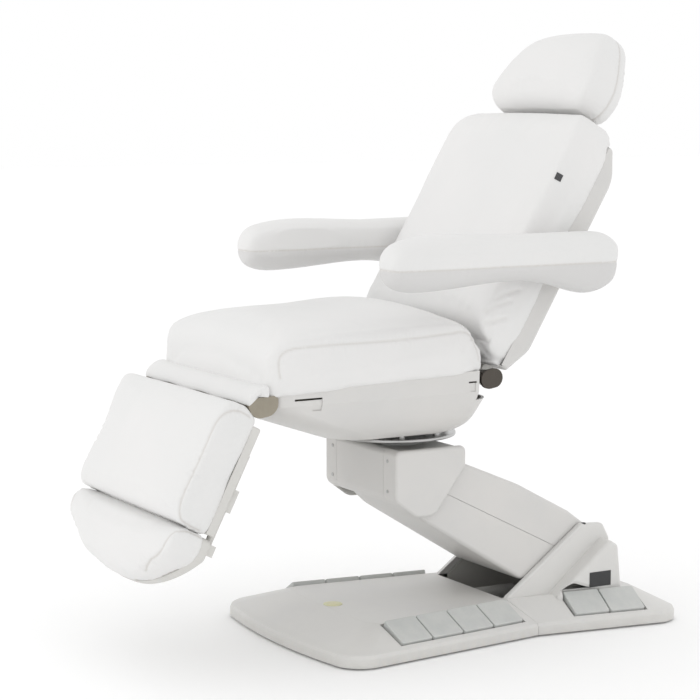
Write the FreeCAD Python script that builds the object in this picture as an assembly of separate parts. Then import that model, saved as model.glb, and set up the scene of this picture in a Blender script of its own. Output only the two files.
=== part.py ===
"""Electric treatment chair: a padded chair that lies flat, on a lifting arm and a pedal base.

Millimetres. +Z is up, -Y is the foot end and +X is the sitter's left. Every piece is drawn with y counted
from the middle of the base. The finished pieces are then moved along y, so that the origin is on the floor
under the middle of the chair's length. The back and the legrest are drawn lying flat and turned to rest.
"""
import FreeCAD, Part
import math
import os

V = FreeCAD.Vector
X_AXIS = V(1, 0, 0)
Y_AXIS = V(0, 1, 0)
Z_AXIS = V(0, 0, 1)
ORIGIN = V(0, 0, 0)

# From the middle of the base to the middle of the chair's length
FRAME_Y = 220.0

# Fits shared by the whole chair
SOFT_GAP = 0.3
RUN_GAP = 0.3
FIT_GAP = 0.05
SEAM_GAP = 0.9
BEYOND = 400.0
LOFT_DEGREE = 3

# Floor base: outline, rim, sloped band and flat top
BASE_FRONT_Y = -472.0
BASE_BOW = 20.0
BASE_REAR_Y = 467.0
BASE_HALF_FRONT = 315.0
BASE_HALF_WAIST = 258.0
BASE_HALF_REAR = 304.0
BASE_WAIST_Y = 70.0
BASE_CORNER_R = 70.0
TOP_FRONT_Y = -352.0
TOP_BOW = 8.0
TOP_REAR_Y = 395.0
TOP_HALF_FRONT = 206.0
TOP_HALF_WAIST = 160.0
TOP_HALF_REAR = 205.0
TOP_CORNER_R = 40.0
BASE_TOP_Z = 72.0
RIM_WALL_Z = 24.0
RIM_ROUND = 12.0
RIM_SHOULDER_RISE = 8.0
RIM_SHOULDER_INSET = 4.0
COVER_WALL = 4.0
COVER_FOOT_Z = 5.0
PLATE_LOW_Z = 8.0
PLATE_THICK = 6.0
PLATE_TOP_Z = PLATE_LOW_Z + PLATE_THICK
FOOT_R = 18.0
FOOT_TOP_R = 14.0
FOOT_INSET = 62.0

# Foot pedals in four rows
FRONT_ROW_Y = (-322.0, 34.0)
FRONT_ROW_COUNT = 4
REAR_ROW_Y = (181.0, 367.0)
REAR_ROW_COUNT = 2
PEDAL_WIDTH = 78.0
PEDAL_LOW = -5.0
PEDAL_PROUD = 12.0
PEDAL_TOE_PROUD = 4.5
PEDAL_SPACE = 3.0
PEDAL_EDGE_R = 2.5
PEDAL_CORNER_R = 5.0
PEDAL_BARREL_R = 5.0
PEDAL_PIN_R = 3.0
PEDAL_PIN_INSET = 5.5
TRAY_MARGIN = 4.0
TRAY_DEPTH = 18.0
TRAY_WALL = 3.0

# Tower on the rear cover, with its side blocks
TOWER_HALF = 158.0
TOWER_SLOT_HALF = 144.0
TOWER_FOOT_Y = 46.0
TOWER_FOOT_Z = 40.0
TOWER_TOP_Y = 262.0
TOWER_TOP_Z = 231.0
TOWER_BACK_Y = 345.0
TOWER_BACK_TOP_Z = 190.0
TOWER_REAR_TOP_Y = 325.0
TOWER_WALL = 3.0
TOWER_EDGE_R = 6.0
TOWER_CORNER_R = 14.0
TOWER_TOP_FALL = 4.0
BLOCK_HALF = 200.0
BLOCK_FRONT_Y = 168.0
BLOCK_TOP_Y = 318.0
BLOCK_TOP_Z = 194.0
BLOCK_BACK_Y = 357.0
BLOCK_BACK_TOP = (343.0, 178.0)
BLOCK_EDGE_R = 10.0
TOWER_PLATE_THICK = 6.0
TOWER_PLATE_X = 146.0
TOWER_PLATE_FRONT_Y = 76.0
TOWER_PLATE_TOP_Z = 213.0
TOWER_PLATE_REAR_Y = 333.0
TOWER_PLATE_REAR_TOP_Y = 319.0
TOWER_PLATE_R = 20.0
TOWER_PLATE_FOOT_R = 10.0
LABEL_Y = (257.0, 319.0)
LABEL_Z = (84.0, 120.0)
LABEL_THICK = 1.5
INLET_HALF = 24.0
INLET_Z = (104.0, 136.0)
INLET_DEPTH = 22.0
INLET_RIM = 5.0
INLET_FACE_Y = 353.0
INLET_RECESS_HALF = 16.0
INLET_RECESS_Z = (111.0, 129.0)
INLET_FLOOR = 4.0
INLET_PIN_X = (-7.0, 0.0, 7.0)
INLET_PIN_HALF = 1.0
INLET_PIN_HALF_Z = 2.0
INLET_PIN_INSET = 9.0

# Parallel lifting arm: two pivots, and a crank on each axle for the tie rod
ARM_LOW_Y = 265.0
ARM_LOW_Z = 175.0
ARM_HIGH_Y = -140.0
ARM_HIGH_Z = 362.0
TIE_OFFSET = 34.0
AXLE_R = 15.0
AXLE_HALF = TOWER_PLATE_X + TOWER_PLATE_THICK
CRANK_X = (8.0, 16.0)
TIE_PIN_R = 5.0
TIE_HALF = 7.0
TIE_EYE_R = 11.0
ARM_HALF = 140.0
ARM_WALL = 3.0
ARM_EDGE_R = 10.0
ARM_HIGH_CORNERS = ((-32.0, -85.0, 120.0), (-88.0, -32.0, 40.0), (-65.0, 63.0, 45.0), (40.0, 58.0, 90.0))
ARM_BACK_BEND = (91.0, 340.0, 200.0)
ARM_LOW_CORNERS = ((-27.0, 86.0, 22.0), (57.0, 25.0, 26.0), (47.0, -57.0, 26.0), (-165.0, -66.0, 18.0))
ARM_SEAM_HIGH = (51.0, -37.0)
ARM_SEAM_LOW = (-74.0, 8.0)
BEAM_X = (112.0, 120.0)
BEAM_HALF_DEPTH = 34.0
BEAM_TUBE_R = 24.0
BEAM_TUBE_X = 20.0
BEAM_TIE_R = 18.0
BEAM_TIE_DROP = 22.0

# Lift drive: lever on the beam, straight push rod with a slotted end
LIFT_DOWN = 9.0
LIFT_UP = 30.0
LIFT_LEVER = 128.0
LEVER_X = (20.0, 26.0)
LEVER_EYE_R = 13.0
LEVER_PIN_R = 6.0
ROD_R = 8.0
YOKE_HALF = 5.0
YOKE_MARGIN = 6.0
YOKE_PLAY = 2.0
TUBE_R = 14.0
LIFT_TUBE_Y = (-120.0, 170.0)
LIFT_GEAR_Y = (-205.0, -120.0)
LIFT_GEAR_HALF = 30.0
LIFT_GEAR_TOP_Z = 64.0
CONTROL_X = (-150.0, -45.0)
CONTROL_Y = (-310.0, -130.0)
CONTROL_TOP_Z = 58.0
HOUSING_R = 6.0
LIFT_MOTOR_LENGTH = 90.0
LIFT_ROD_TAIL_Y = -10.0
SADDLE_Y = (140.0, 160.0)
TUBE_END_WALL = 6.0
LEVER_WAY = 4.0
DRIVE_WINDOW_GAP = 2.0

# Head of the arm
HEAD_HALF = 165.0
HEAD_FRONT_Y = -262.0
HEAD_REAR_Y = -72.0
HEAD_TOP_Z = 450.0
HEAD_REAR_LOW_Z = 404.0
HEAD_LOW_Z = 292.0
HEAD_LOW_Y = -205.0
HEAD_CHIN_Z = 335.0
HEAD_WALL = 3.0
HEAD_EDGE_R = 8.0
HEAD_CHIN_R = 24.0
HEAD_CORNER_R = 14.0
HEAD_LOW_R = 38.0
HEAD_LOW_LENGTH = 50.0
HEAD_RETURN = 16.0
PANEL_HALF = 111.0
PANEL_LOW_Z = 316.0
HEAD_PLATE_THICK = 10.0
SCREW_R = 4.0
SCREW_PROUD = 1.5
SCREW_X = 128.0
SCREW_CROSS = 2.5
SCREW_CROSS_HALF = 0.6
SCREW_CROSS_DEPTH = 0.7
HEAD_STIFFENER = (6.0, 40.0)
HEAD_TOP_SHORT = 12.0
SCREW_Z = (354.0, 424.0)

# Swivel between head and seat
SWIVEL_Y = -169.0
BEARING_R = (52.0, 76.0)
BEARING_TOP_Z = 462.7
DISC_R = 145.0
DISC_BORE_R = 50.0
DISC_LOW_Z = 463.0
DISC_TOP_Z = 471.0
DISC_EDGE_R = 2.5
SPACER_R = 8.0
SPACER_RING_R = 122.0
SPACER_COUNT = 8

# Seat: belly shell, frame and cushion
BELLY_LOW_Z = 482.0
BELLY_RIM_Z = 590.0
SHELL_HALF = 271.0
SHELL_FRONT_Y = -640.0
SHELL_REAR_Y = -50.0
SHELL_WALL = 4.0
SHELL_EAR_Y = -106.0
SHELL_REAR_TOP_Z = 570.0
SHELL_NOTCH_HALF = 24.0
SHELL_NOTCH_DROP = 24.0
SHELL_NOSE_Y = -612.0
SHELL_NOSE_Z = 568.0
SHELL_RIM_INSET = 3.0
SHELL_CORNER_R = 60.0
SHELL_LIP = 20.0
SHELL_SLOTS = (((-576.0, -508.0), (601.5, 606.0)), ((-134.0, -112.0), (611.0, 615.0)))
SHELL_POCKETS = (((-530.0, -508.0), (577.0, 601.5)), ((-129.0, -115.0), (591.0, 611.0)))
SHELL_POCKET_DEPTH = 2.5
SEAT_FRONT_Y = -640.0
SEAT_REAR_Y = -92.0
SEAM_FRONT_Z = 616.0
SEAM_REAR_Z = 639.0
SEAT_HALF = 274.0
SEAT_DRAW = 5.0
SEAT_SIDE = 116.0
SEAT_CROWN = 29.0
SEAT_BULGE = 8.0
RAIL_X = (205.0, 235.0)
RAIL_HALF_DEPTH = 12.0
FRAME_FLOOR_THICK = 8.0
FRAME_FLOOR_HALF = 138.0
FRAME_FLOOR_Y = (-388.0, -82.0)
FRAME_FLOOR_R = 85.0
WEB_X = (120.0, 132.0)
CROSS_Y = (-290.0, -128.0)
CROSS_HALF = 12.0
CROSS_BAR_Z = (-4.0, 8.0)
RAIL_END = 13.0
MOTOR_POST_HALF = 15.0
MOTOR_POST_THICK = 12.0
LEG_POST_Y = -310.0
BACK_POST_Y = -315.0
HINGE_R = 11.0
SLEEVE_R = 16.0
SLEEVE_HALF = 198.0
HINGE_PLATE_X = (256.0, 264.0)
HINGE_PLATE_R = 29.0
HINGE_PLATE_REACH = 13.0
HINGE_PLATE_REAR_R = 22.0
HINGE_PLATE_TILT = 2.0

# Legrest and back: pivots, rest angles, travel and drive levers
LEG_Y = -655.0
LEG_Z = 600.0
LEG_ANGLE = 63.0
LEG_DOWN = 12.0
LEG_UP = 65.0
BACK_Y = -62.0
BACK_Z = 618.0
BACK_ANGLE = 59.0
BACK_UP = 8.0
SEAT_LEVER = 48.0
SEAT_LEVER_PIN_R = 5.0
SEAT_LEVER_EYE_R = 10.0
LEG_DRIVE_X = -50.0
BACK_DRIVE_X = 50.0
DRIVE_LEVER_X = (9.0, 14.0)
LEG_TUBE_Y = (-530.0, -360.0)
LEG_MOTOR_END_Y = -270.0
BACK_TUBE_Y = (-300.0, -130.0)
BACK_MOTOR_END_Y = -390.0
MOTOR_R = 24.0
LEG_ROD_TAIL_Y = -420.0
BACK_ROD_TAIL_Y = -220.0

# Legrest and footrest, measured along the legrest from its pivot
LEG_BAR_X = (170.0, 182.0)
LEG_BAR_LENGTH = 230.0
LEG_BAR_THICK = 8.0
LEG_BAR_BACK = 8.0
LEG_BAR_NECK = 12.0
BOARD_THICK = 22.0
LEG_BOARD = (48.0, 297.0)
LEG_BOARD_HALF = 271.0
LEG_PAD = (15.0, 300.0)
LEG_PAD_WAY = 2.0
LEG_HALF = 273.0
LEG_DRAW = 5.0
LEG_SIDE = 80.0
LEG_CROWN = 18.0
LEG_BULGE = 5.0
BOARD_EDGE_R = 5.0
FOOT_CORNER_R = 15.0
GUIDE_BLOCK = (186.0, 237.0)
GUIDE_X = 235.0
GUIDE_HALF = 22.0
GUIDE_DEPTH = 20.0
GUIDE_TUBE_R = 8.0
GUIDE_TUBE_TOP = 108.0
FOOT_START = 306.0
FOOT_SIDE_LENGTH = 46.0
FOOT_LENGTH = 146.0
FOOT_HALF = 271.0
FOOT_SIDE = 68.0
FOOT_CROWN = 15.0
FOOT_BLOCK = (313.0, 338.0)

# Back, measured along the back from its pivot
SHELL_BACK = (30.0, 604.0)
BACK_SHELL_HALF = 266.0
BACK_SHELL_DEPTH = 54.0
BACK_SHELL_FOOT_DEPTH = 22.5
BACK_SHELL_TOP_DEPTH = 16.0
BACK_SHELL_WALL = 3.0
BACK_SHELL_TOP = 1.0
BACK_SHELL_EDGE_R = 12.0
BACK_MOUTH_HALF = 200.0
BACK_MOUTH_TOP = 96.0
BACK_SHELL_FALL = 62.0
BACK_SHELL_FALL_R = 90.0
BACK_SHELL_RUN_R = 60.0
BACK_SHELL_TOP_R = 10.0
BACK_SHELL_FOOT_R = 4.0
UPRIGHT_X = (170.0, 182.0)
UPRIGHT_M = (-38.0, -10.0)
UPRIGHT_TOP = 535.0
UPRIGHT_FOOT = 12.0
BACK_BARS = ((390.0, 410.0), (515.0, 535.0))
BACK_HALF = 268.0
BACK_DRAW = 5.0
BACK_BULGE = 6.0
BACK_PAD = (36.0, 658.0)
BACK_PAD_HEEL = 98.0
BACK_SIDE = 103.0
BACK_CROWN = 18.0

# Armrests: pivot on the back, padded top and padded tray
ARM_PIVOT_V = 294.0
ARM_PIVOT_M = -20.0
ARM_PIN_R = 10.0
ARM_PIN_HALF = 347.0
HUB_NECK_R = 14.0
HUB_R = 36.0
HUB_X = (267.0, 277.0)
HUB_EDGE_R = 3.0
ARMREST_INNER_X = 290.0
ARMREST_SIDE_GAP = 1.5
ARMREST_HALF = 46.0
ARMREST_BULGE = 3.0
ARMREST_FRONT_Y = -396.0
ARMREST_REAR_Y = 201.0
ARMREST_SEAM_Z = 880.0
ARMREST_SIDE = 46.0
ARMREST_CROWN = 20.0
ARMREST_FRONT_DEPTH = 50.0
ARMREST_MID_DEPTH = 38.0
ARMREST_REAR_DEPTH = 69.0
ARMREST_KEEL = 0.6

# Headrest on two sliding rods, measured along the back
HEADREST_TILT_V = 692.0
HEADREST_TILT_M = -30.0
HEADREST_ROD_X = 100.0
HEADREST_ROD_R = 7.0
HEADREST_ROD_LOW = 430.0
HEADREST_CROSS_R = 8.0
HEADREST_GUIDE_R = 11.0
HEADREST_BOARD = (672.0, 862.0)
HEADREST_BOARD_M = (-20.0, -12.0)
HEADREST_BOARD_HALF = 118.0
HEADREST_KNUCKLE_X = (58.0, 80.0)
HEADREST_KNUCKLE_R = 13.0
HEADREST_KNUCKLE_WEB = (30.0, 6.0)
HEADREST_BOARD_R = 30.0
HEADREST_PAD = (664.0, 898.0)
HEADREST_HALF = 196.0
HEADREST_SIDE = 98.0
HEADREST_CROWN = 18.0
HEADREST_BULGE = 5.0

COVER_TOP_INSIDE = BASE_TOP_Z - COVER_WALL
FRAME_FLOOR_Z = BELLY_LOW_Z + SHELL_WALL
SEAM_SLOPE = (SEAM_REAR_Z - SEAM_FRONT_Z) / (SEAT_REAR_Y - SEAT_FRONT_Y)
HUB_FACE_X = ARMREST_INNER_X - ARMREST_SIDE_GAP
ARMREST_X = ARMREST_INNER_X + ARMREST_HALF + ARMREST_BULGE


def line(a, b):
    return Part.LineSegment(a, b).toShape()


def arc(a, middle, b):
    return Part.Arc(a, middle, b).toShape()


def box(x_range, y_range, z_range):
    corner = V(x_range[0], y_range[0], z_range[0])
    return Part.makeBox(x_range[1] - x_range[0], y_range[1] - y_range[0], z_range[1] - z_range[0], corner)


def rod_x(radius, x_range, y, z):
    return Part.makeCylinder(radius, x_range[1] - x_range[0], V(x_range[0], y, z), X_AXIS)


def rod_y(radius, x, y_range, z):
    return Part.makeCylinder(radius, y_range[1] - y_range[0], V(x, y_range[0], z), Y_AXIS)


def mirrored(shape):
    return shape.mirror(ORIGIN, X_AXIS)


def both_sides(shape):
    """The shape and its mirror image, as two solids of one group."""
    return Part.makeCompound([shape, mirrored(shape)])


def fused(shapes):
    return shapes[0].multiFuse(shapes[1:]).removeSplitter()


def profile(points):
    """Closed outline in the YZ plane through (y, z, corner radius)."""
    corners = []
    for index, (y, z, radius) in enumerate(points):
        here = V(0, y, z)
        before = V(0, *points[index - 1][:2]) - here
        after = V(0, *points[(index + 1) % len(points)][:2]) - here
        before.normalize()
        after.normalize()
        half_angle = before.getAngle(after) / 2
        reach = radius / math.tan(half_angle)
        bisector = before + after
        bisector.normalize()
        middle = here + bisector * (radius / math.sin(half_angle) - radius)
        corners.append((here + before * reach, middle, here + after * reach, radius))
    edges = []
    for index, (start, middle, end, radius) in enumerate(corners):
        if radius > 0:
            edges.append(arc(start, middle, end))
        edges.append(line(end, corners[(index + 1) % len(corners)][0]))
    return Part.Wire(edges)


def slab(wire, x_range):
    """Solid of a YZ outline between two x positions."""
    solid = Part.Face(wire).extrude(V(x_range[1] - x_range[0], 0, 0))
    solid.translate(V(x_range[0], 0, 0))
    return solid


def inset(wire, distance):
    if distance == 0:
        return wire
    return wire.makeOffset2D(-distance)


def rounded_at_x(solid, x, radius, below=3000.0):
    """Fillet the edges that lie in the plane at x, or those of them that reach below a height."""
    edges = [e for e in solid.Edges if all(abs(v.X - x) < 1e-6 for v in e.Vertexes)
             and min(v.Z for v in e.Vertexes) < below]
    return solid.makeFillet(radius, edges)


def pad_section(y, half, low, side, crown, bulge, centre_x=0.0):
    """One cross-section of padding: flat underside, full sides and a crowned top."""
    a = V(centre_x - half, y, low)
    b = V(centre_x + half, y, low)
    c = V(centre_x + half, y, low + side)
    d = V(centre_x - half, y, low + side)
    right = V(centre_x + half + bulge, y, low + side / 2)
    top = V(centre_x, y, low + side + crown)
    left = V(centre_x - half - bulge, y, low + side / 2)
    return Part.Wire([line(a, b), arc(b, right, c), arc(c, top, d), arc(d, left, a)])


def padding(sections):
    """Padding through its cross-sections.

    The pieces list their rows as place, change of half width, share of the side and share of the crown.
    """
    wires = [pad_section(*section) for section in sections]
    solid = Part.makeLoft(wires, True, False, False, LOFT_DEGREE)
    if solid.Volume < 0 or solid.Shells[0].Orientation == "Reversed":
        solid = Part.makeLoft(wires[::-1], True, False, False, LOFT_DEGREE)
    return solid


def turned(shape, angle, y, z):
    """Turn a shape drawn flat about the x axis and set its pivot at (y, z)."""
    shape = shape.copy()
    shape.rotate(ORIGIN, X_AXIS, angle)
    shape.translate(V(0, y, z))
    return shape


def on_back(shape):
    return turned(shape, BACK_ANGLE, BACK_Y, BACK_Z)


def on_leg(shape):
    return turned(shape, LEG_ANGLE, LEG_Y, LEG_Z)


def back_point(v, m):
    angle = math.radians(BACK_ANGLE)
    y = BACK_Y + v * math.cos(angle) - m * math.sin(angle)
    z = BACK_Z + v * math.sin(angle) + m * math.cos(angle)
    return y, z


# Floor base

def base_outline(z, front, bow, half_front, half_waist, half_rear, rear, radius):
    """Plan outline of the base: bowed front, round corners and drawn-in waist."""
    cut = radius * (1 - math.sqrt(0.5))
    waist = V(half_waist, BASE_WAIST_Y, z)
    front_in = V(half_front - radius, front, z)
    front_mid = V(half_front - cut, front + cut, z)
    front_out = V(half_front, front + radius, z)
    rear_out = V(half_rear, rear - radius, z)
    rear_mid = V(half_rear - cut, rear - cut, z)
    rear_in = V(half_rear - radius, rear, z)

    def other(p):
        return V(-p.x, p.y, p.z)

    return Part.Wire([
        arc(other(front_in), V(0, front - bow, z), front_in),
        arc(front_in, front_mid, front_out),
        line(front_out, waist),
        line(waist, rear_out),
        arc(rear_out, rear_mid, rear_in),
        line(rear_in, other(rear_in)),
        arc(other(rear_in), other(rear_mid), other(rear_out)),
        line(other(rear_out), other(waist)),
        line(other(waist), other(front_out)),
        arc(other(front_out), other(front_mid), other(front_in)),
    ])


def rim_outline(z, inward):
    return base_outline(z, BASE_FRONT_Y + inward, BASE_BOW, BASE_HALF_FRONT - inward,
                        BASE_HALF_WAIST - inward, BASE_HALF_REAR - inward, BASE_REAR_Y - inward,
                        BASE_CORNER_R - inward)


def top_outline(z, inward):
    return base_outline(z, TOP_FRONT_Y + inward, TOP_BOW, TOP_HALF_FRONT - inward,
                        TOP_HALF_WAIST - inward, TOP_HALF_REAR - inward, TOP_REAR_Y - inward,
                        TOP_CORNER_R - inward)


def base_block(inward, drop, foot_z):
    """Filled base form, smaller by a wall thickness when it is used to hollow the cover."""
    wires = [
        rim_outline(foot_z, inward),
        rim_outline(RIM_WALL_Z - drop, inward),
        rim_outline(RIM_WALL_Z + RIM_SHOULDER_RISE - drop, inward + RIM_SHOULDER_INSET),
        rim_outline(RIM_WALL_Z + RIM_ROUND - drop, inward + RIM_ROUND),
        top_outline(BASE_TOP_Z - drop, inward),
    ]
    return Part.makeLoft(wires, True, True)


def half_width(y, half_front, front, half_rear, rear, half_waist):
    """Half width of a base outline at y, between its corner and its waist."""
    if y < BASE_WAIST_Y:
        share = (y - BASE_WAIST_Y) / (front - BASE_WAIST_Y)
        return half_waist + share * (half_front - half_waist)
    share = (y - BASE_WAIST_Y) / (rear - BASE_WAIST_Y)
    return half_waist + share * (half_rear - half_waist)


def band(y):
    """Outer and inner x of the sloped band at y."""
    outer = half_width(y, BASE_HALF_FRONT - RIM_ROUND, BASE_FRONT_Y + BASE_CORNER_R,
                       BASE_HALF_REAR - RIM_ROUND, BASE_REAR_Y - BASE_CORNER_R,
                       BASE_HALF_WAIST - RIM_ROUND)
    inner = half_width(y, TOP_HALF_FRONT, TOP_FRONT_Y + TOP_CORNER_R,
                       TOP_HALF_REAR, TOP_REAR_Y - TOP_CORNER_R, TOP_HALF_WAIST)
    return outer, inner


def row_place(row_y):
    """Placement on the left band (x out and down, y along the row) and the row's length."""
    first = band(row_y[0])
    last = band(row_y[1])
    x_first = sum(first) / 2
    x_last = sum(last) / 2
    run = (first[0] - first[1] + last[0] - last[1]) / 2
    rise = BASE_TOP_Z - RIM_WALL_Z - RIM_ROUND
    slope = math.degrees(math.atan2(rise, run))
    yaw = math.degrees(math.atan2(x_first - x_last, row_y[1] - row_y[0]))
    middle = V((x_first + x_last) / 2, sum(row_y) / 2, BASE_TOP_Z - rise / 2)
    turn = FreeCAD.Rotation(Z_AXIS, yaw).multiply(FreeCAD.Rotation(Y_AXIS, slope))
    length = (row_y[1] - row_y[0]) / math.cos(math.radians(yaw))
    return FreeCAD.Placement(middle, turn), length


PIN_X = PEDAL_PIN_INSET - PEDAL_WIDTH / 2
PIN_Z = PEDAL_LOW
POCKET_HALF = PEDAL_WIDTH / 2 + TRAY_MARGIN


def placed(shape, place):
    shape = shape.copy()
    shape.Placement = place.multiply(shape.Placement)
    return shape


def tray(row_y, wall):
    """Block round one row of pedals: the pocket itself when wall is zero."""
    place, length = row_place(row_y)
    reach = length / 2 + TRAY_MARGIN + wall
    height = TRAY_DEPTH + wall
    top = BASE_TOP_Z if wall == 0 else PEDAL_PROUD
    block = box((-POCKET_HALF - wall, POCKET_HALF + wall), (-reach, reach), (-height, top))
    return placed(block, place)


def pedal_pin(row_y, radius):
    place, length = row_place(row_y)
    reach = length / 2 + TRAY_MARGIN + TRAY_WALL
    return placed(rod_y(radius, PIN_X, (-reach, reach), PIN_Z), place)


def pedal(row_y, count, index):
    """One wedge-shaped pedal with its hinge barrel under the upper edge."""
    place, length = row_place(row_y)
    pitch = length / count
    start = -length / 2 + index * pitch + PEDAL_SPACE / 2
    span = (start, start + pitch - PEDAL_SPACE)
    half = PEDAL_WIDTH / 2
    corners = [V(-half, span[0], PEDAL_LOW), V(half, span[0], PEDAL_LOW),
               V(half, span[0], PEDAL_TOE_PROUD), V(-half, span[0], PEDAL_PROUD)]
    plate = Part.Face(Part.makePolygon(corners + corners[:1])).extrude(V(0, span[1] - span[0], 0))
    upright = [e for e in plate.Edges if e.BoundBox.ZLength > 1 and e.BoundBox.XLength < 1e-6]
    plate = plate.makeFillet(PEDAL_CORNER_R, upright)
    top = max(plate.Faces, key=lambda f: f.CenterOfMass.z)
    plate = plate.makeFillet(PEDAL_EDGE_R, top.Edges)
    barrel = rod_y(PEDAL_BARREL_R, PIN_X, (span[0] + PEDAL_CORNER_R, span[1] - PEDAL_CORNER_R), PIN_Z)
    bore = rod_y(PEDAL_PIN_R + RUN_GAP, PIN_X, (-BEYOND, BEYOND), PIN_Z)
    return placed(fused([plate, barrel]).cut(bore), place)


def tower_profile():
    return profile([
        (TOWER_FOOT_Y, TOWER_FOOT_Z, 0),
        (TOWER_FOOT_Y, BASE_TOP_Z, TOWER_CORNER_R),
        (TOWER_TOP_Y, TOWER_TOP_Z, TOWER_CORNER_R),
        (TOWER_REAR_TOP_Y, TOWER_TOP_Z - TOWER_TOP_FALL, TOWER_CORNER_R),
        (TOWER_BACK_Y, TOWER_BACK_TOP_Z, TOWER_CORNER_R),
        (TOWER_BACK_Y, TOWER_FOOT_Z, 0),
    ])


def block_profile():
    return profile([
        (BLOCK_FRONT_Y, TOWER_FOOT_Z, 0),
        (BLOCK_FRONT_Y, BASE_TOP_Z, TOWER_CORNER_R),
        (BLOCK_TOP_Y, BLOCK_TOP_Z, TOWER_CORNER_R),
        (*BLOCK_BACK_TOP, TOWER_CORNER_R),
        (BLOCK_BACK_Y, TOWER_FOOT_Z, 0),
    ])


def tower_form(inward):
    """Tower and its two side blocks as one filled form."""
    half = TOWER_HALF - inward
    tower = slab(inset(tower_profile(), inward), (-half, half))
    for x in (half, -half):
        tower = rounded_at_x(tower, x, TOWER_EDGE_R - inward)
    block = slab(inset(block_profile(), inward), (0, BLOCK_HALF - inward))
    block = rounded_at_x(block, BLOCK_HALF - inward, BLOCK_EDGE_R - inward)
    return fused([tower, block, mirrored(block)])


def front_region(grown):
    """Ground in front of the seam that parts the two base covers."""
    points = [(-BEYOND, -2 * BEYOND), (BEYOND, -2 * BEYOND), (BEYOND, BASE_WAIST_Y),
              (BASE_HALF_WAIST, BASE_WAIST_Y), (TOWER_HALF, TOWER_FOOT_Y - TOWER_WALL),
              (-TOWER_HALF, TOWER_FOOT_Y - TOWER_WALL), (-BASE_HALF_WAIST, BASE_WAIST_Y),
              (-BEYOND, BASE_WAIST_Y)]
    corners = [V(x, y + (grown if y > -BEYOND else 0), -1) for x, y in points]
    return Part.Face(Part.makePolygon(corners + corners[:1])).extrude(V(0, 0, BEYOND))


def tray_parts(row_y):
    solid = tray(row_y, TRAY_WALL)
    pocket = fused([tray(row_y, 0), pedal_pin(row_y, PEDAL_PIN_R + FIT_GAP)])
    return [solid, mirrored(solid)], [pocket, mirrored(pocket)]


def front_cover():
    outer = base_block(0, 0, COVER_FOOT_Z)
    skin = outer.cut(base_block(COVER_WALL, COVER_WALL, COVER_FOOT_Z - 1))
    trays, pockets = tray_parts(FRONT_ROW_Y)
    skin = fused([skin] + [t.common(outer) for t in trays])
    return skin.cut(Part.makeCompound(pockets)).common(front_region(0))


def rear_cover():
    outer = fused([base_block(0, 0, COVER_FOOT_Z), tower_form(0)])
    hollow = fused([base_block(COVER_WALL, COVER_WALL, COVER_FOOT_Z - 1), tower_form(TOWER_WALL)])
    skin = outer.cut(hollow)
    trays, pockets = tray_parts(REAR_ROW_Y)
    skin = fused([skin] + [t.common(outer) for t in trays])
    mouth = box((-TOWER_SLOT_HALF, TOWER_SLOT_HALF), (0, TOWER_BACK_Y - TOWER_WALL), (-1, BEYOND))
    inlet = inlet_block(INLET_RIM + FIT_GAP, (TOWER_BACK_Y - INLET_DEPTH, BASE_REAR_Y))
    return skin.cut(Part.makeCompound(pockets)).cut(mouth).cut(inlet).cut(front_region(SEAM_GAP))


def base_plate():
    """Floor plate inside the covers, cut away where the pedal trays or the lift drive reach down to it."""
    wire = rim_outline(PLATE_LOW_Z, COVER_WALL + SOFT_GAP)
    plate = Part.Face(wire).extrude(V(0, 0, PLATE_THICK))
    for row_y in (FRONT_ROW_Y, REAR_ROW_Y):
        relief = tray(row_y, TRAY_WALL + SOFT_GAP)
        plate = plate.cut(relief).cut(mirrored(relief))
    lowest = min(LIFT_ROD_Z - TUBE_R, ARM_LOW_Z - LIFT_LEVER - LEVER_EYE_R)
    if lowest < PLATE_TOP_Z + RUN_GAP:
        half = LEVER_X[1] + DRIVE_WINDOW_GAP
        plate = plate.cut(box((-half, half), (LIFT_TUBE_Y[0], TOWER_BACK_Y), (0, BASE_TOP_Z)))
    return plate


def feet():
    ys = (BASE_FRONT_Y + FOOT_INSET, BASE_WAIST_Y, BASE_REAR_Y - FOOT_INSET)
    halves = (BASE_HALF_FRONT - FOOT_INSET, BASE_HALF_WAIST - FOOT_INSET, BASE_HALF_REAR - FOOT_INSET)
    solids = []
    for y, x in zip(ys, halves):
        foot = Part.makeCone(FOOT_R, FOOT_TOP_R, PLATE_LOW_Z, V(x, y, 0), Z_AXIS)
        solids += [foot, mirrored(foot)]
    return Part.makeCompound(solids)


def tower_plates():
    wire = profile([
        (TOWER_PLATE_FRONT_Y, PLATE_TOP_Z, 0),
        (TOWER_PLATE_FRONT_Y, COVER_TOP_INSIDE, TOWER_PLATE_FOOT_R),
        (TOWER_TOP_Y, TOWER_PLATE_TOP_Z, TOWER_PLATE_R),
        (TOWER_PLATE_REAR_TOP_Y, TOWER_PLATE_TOP_Z, TOWER_PLATE_R),
        (TOWER_PLATE_REAR_Y, PLATE_TOP_Z, 0),
    ])
    plate = slab(wire, (TOWER_PLATE_X, TOWER_PLATE_X + TOWER_PLATE_THICK))
    plate = plate.cut(rod_x(AXLE_R + FIT_GAP, (0, BEYOND), ARM_LOW_Y, ARM_LOW_Z))
    return both_sides(plate)


def blank_plate():
    plate = box((BLOCK_HALF, BLOCK_HALF + LABEL_THICK), LABEL_Y, LABEL_Z)
    return rounded_at_x(plate, BLOCK_HALF + LABEL_THICK, LABEL_THICK / 2)


def inlet_block(grown, y_range):
    return box((-INLET_HALF - grown, INLET_HALF + grown), y_range, (INLET_Z[0] - grown, INLET_Z[1] + grown))


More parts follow.
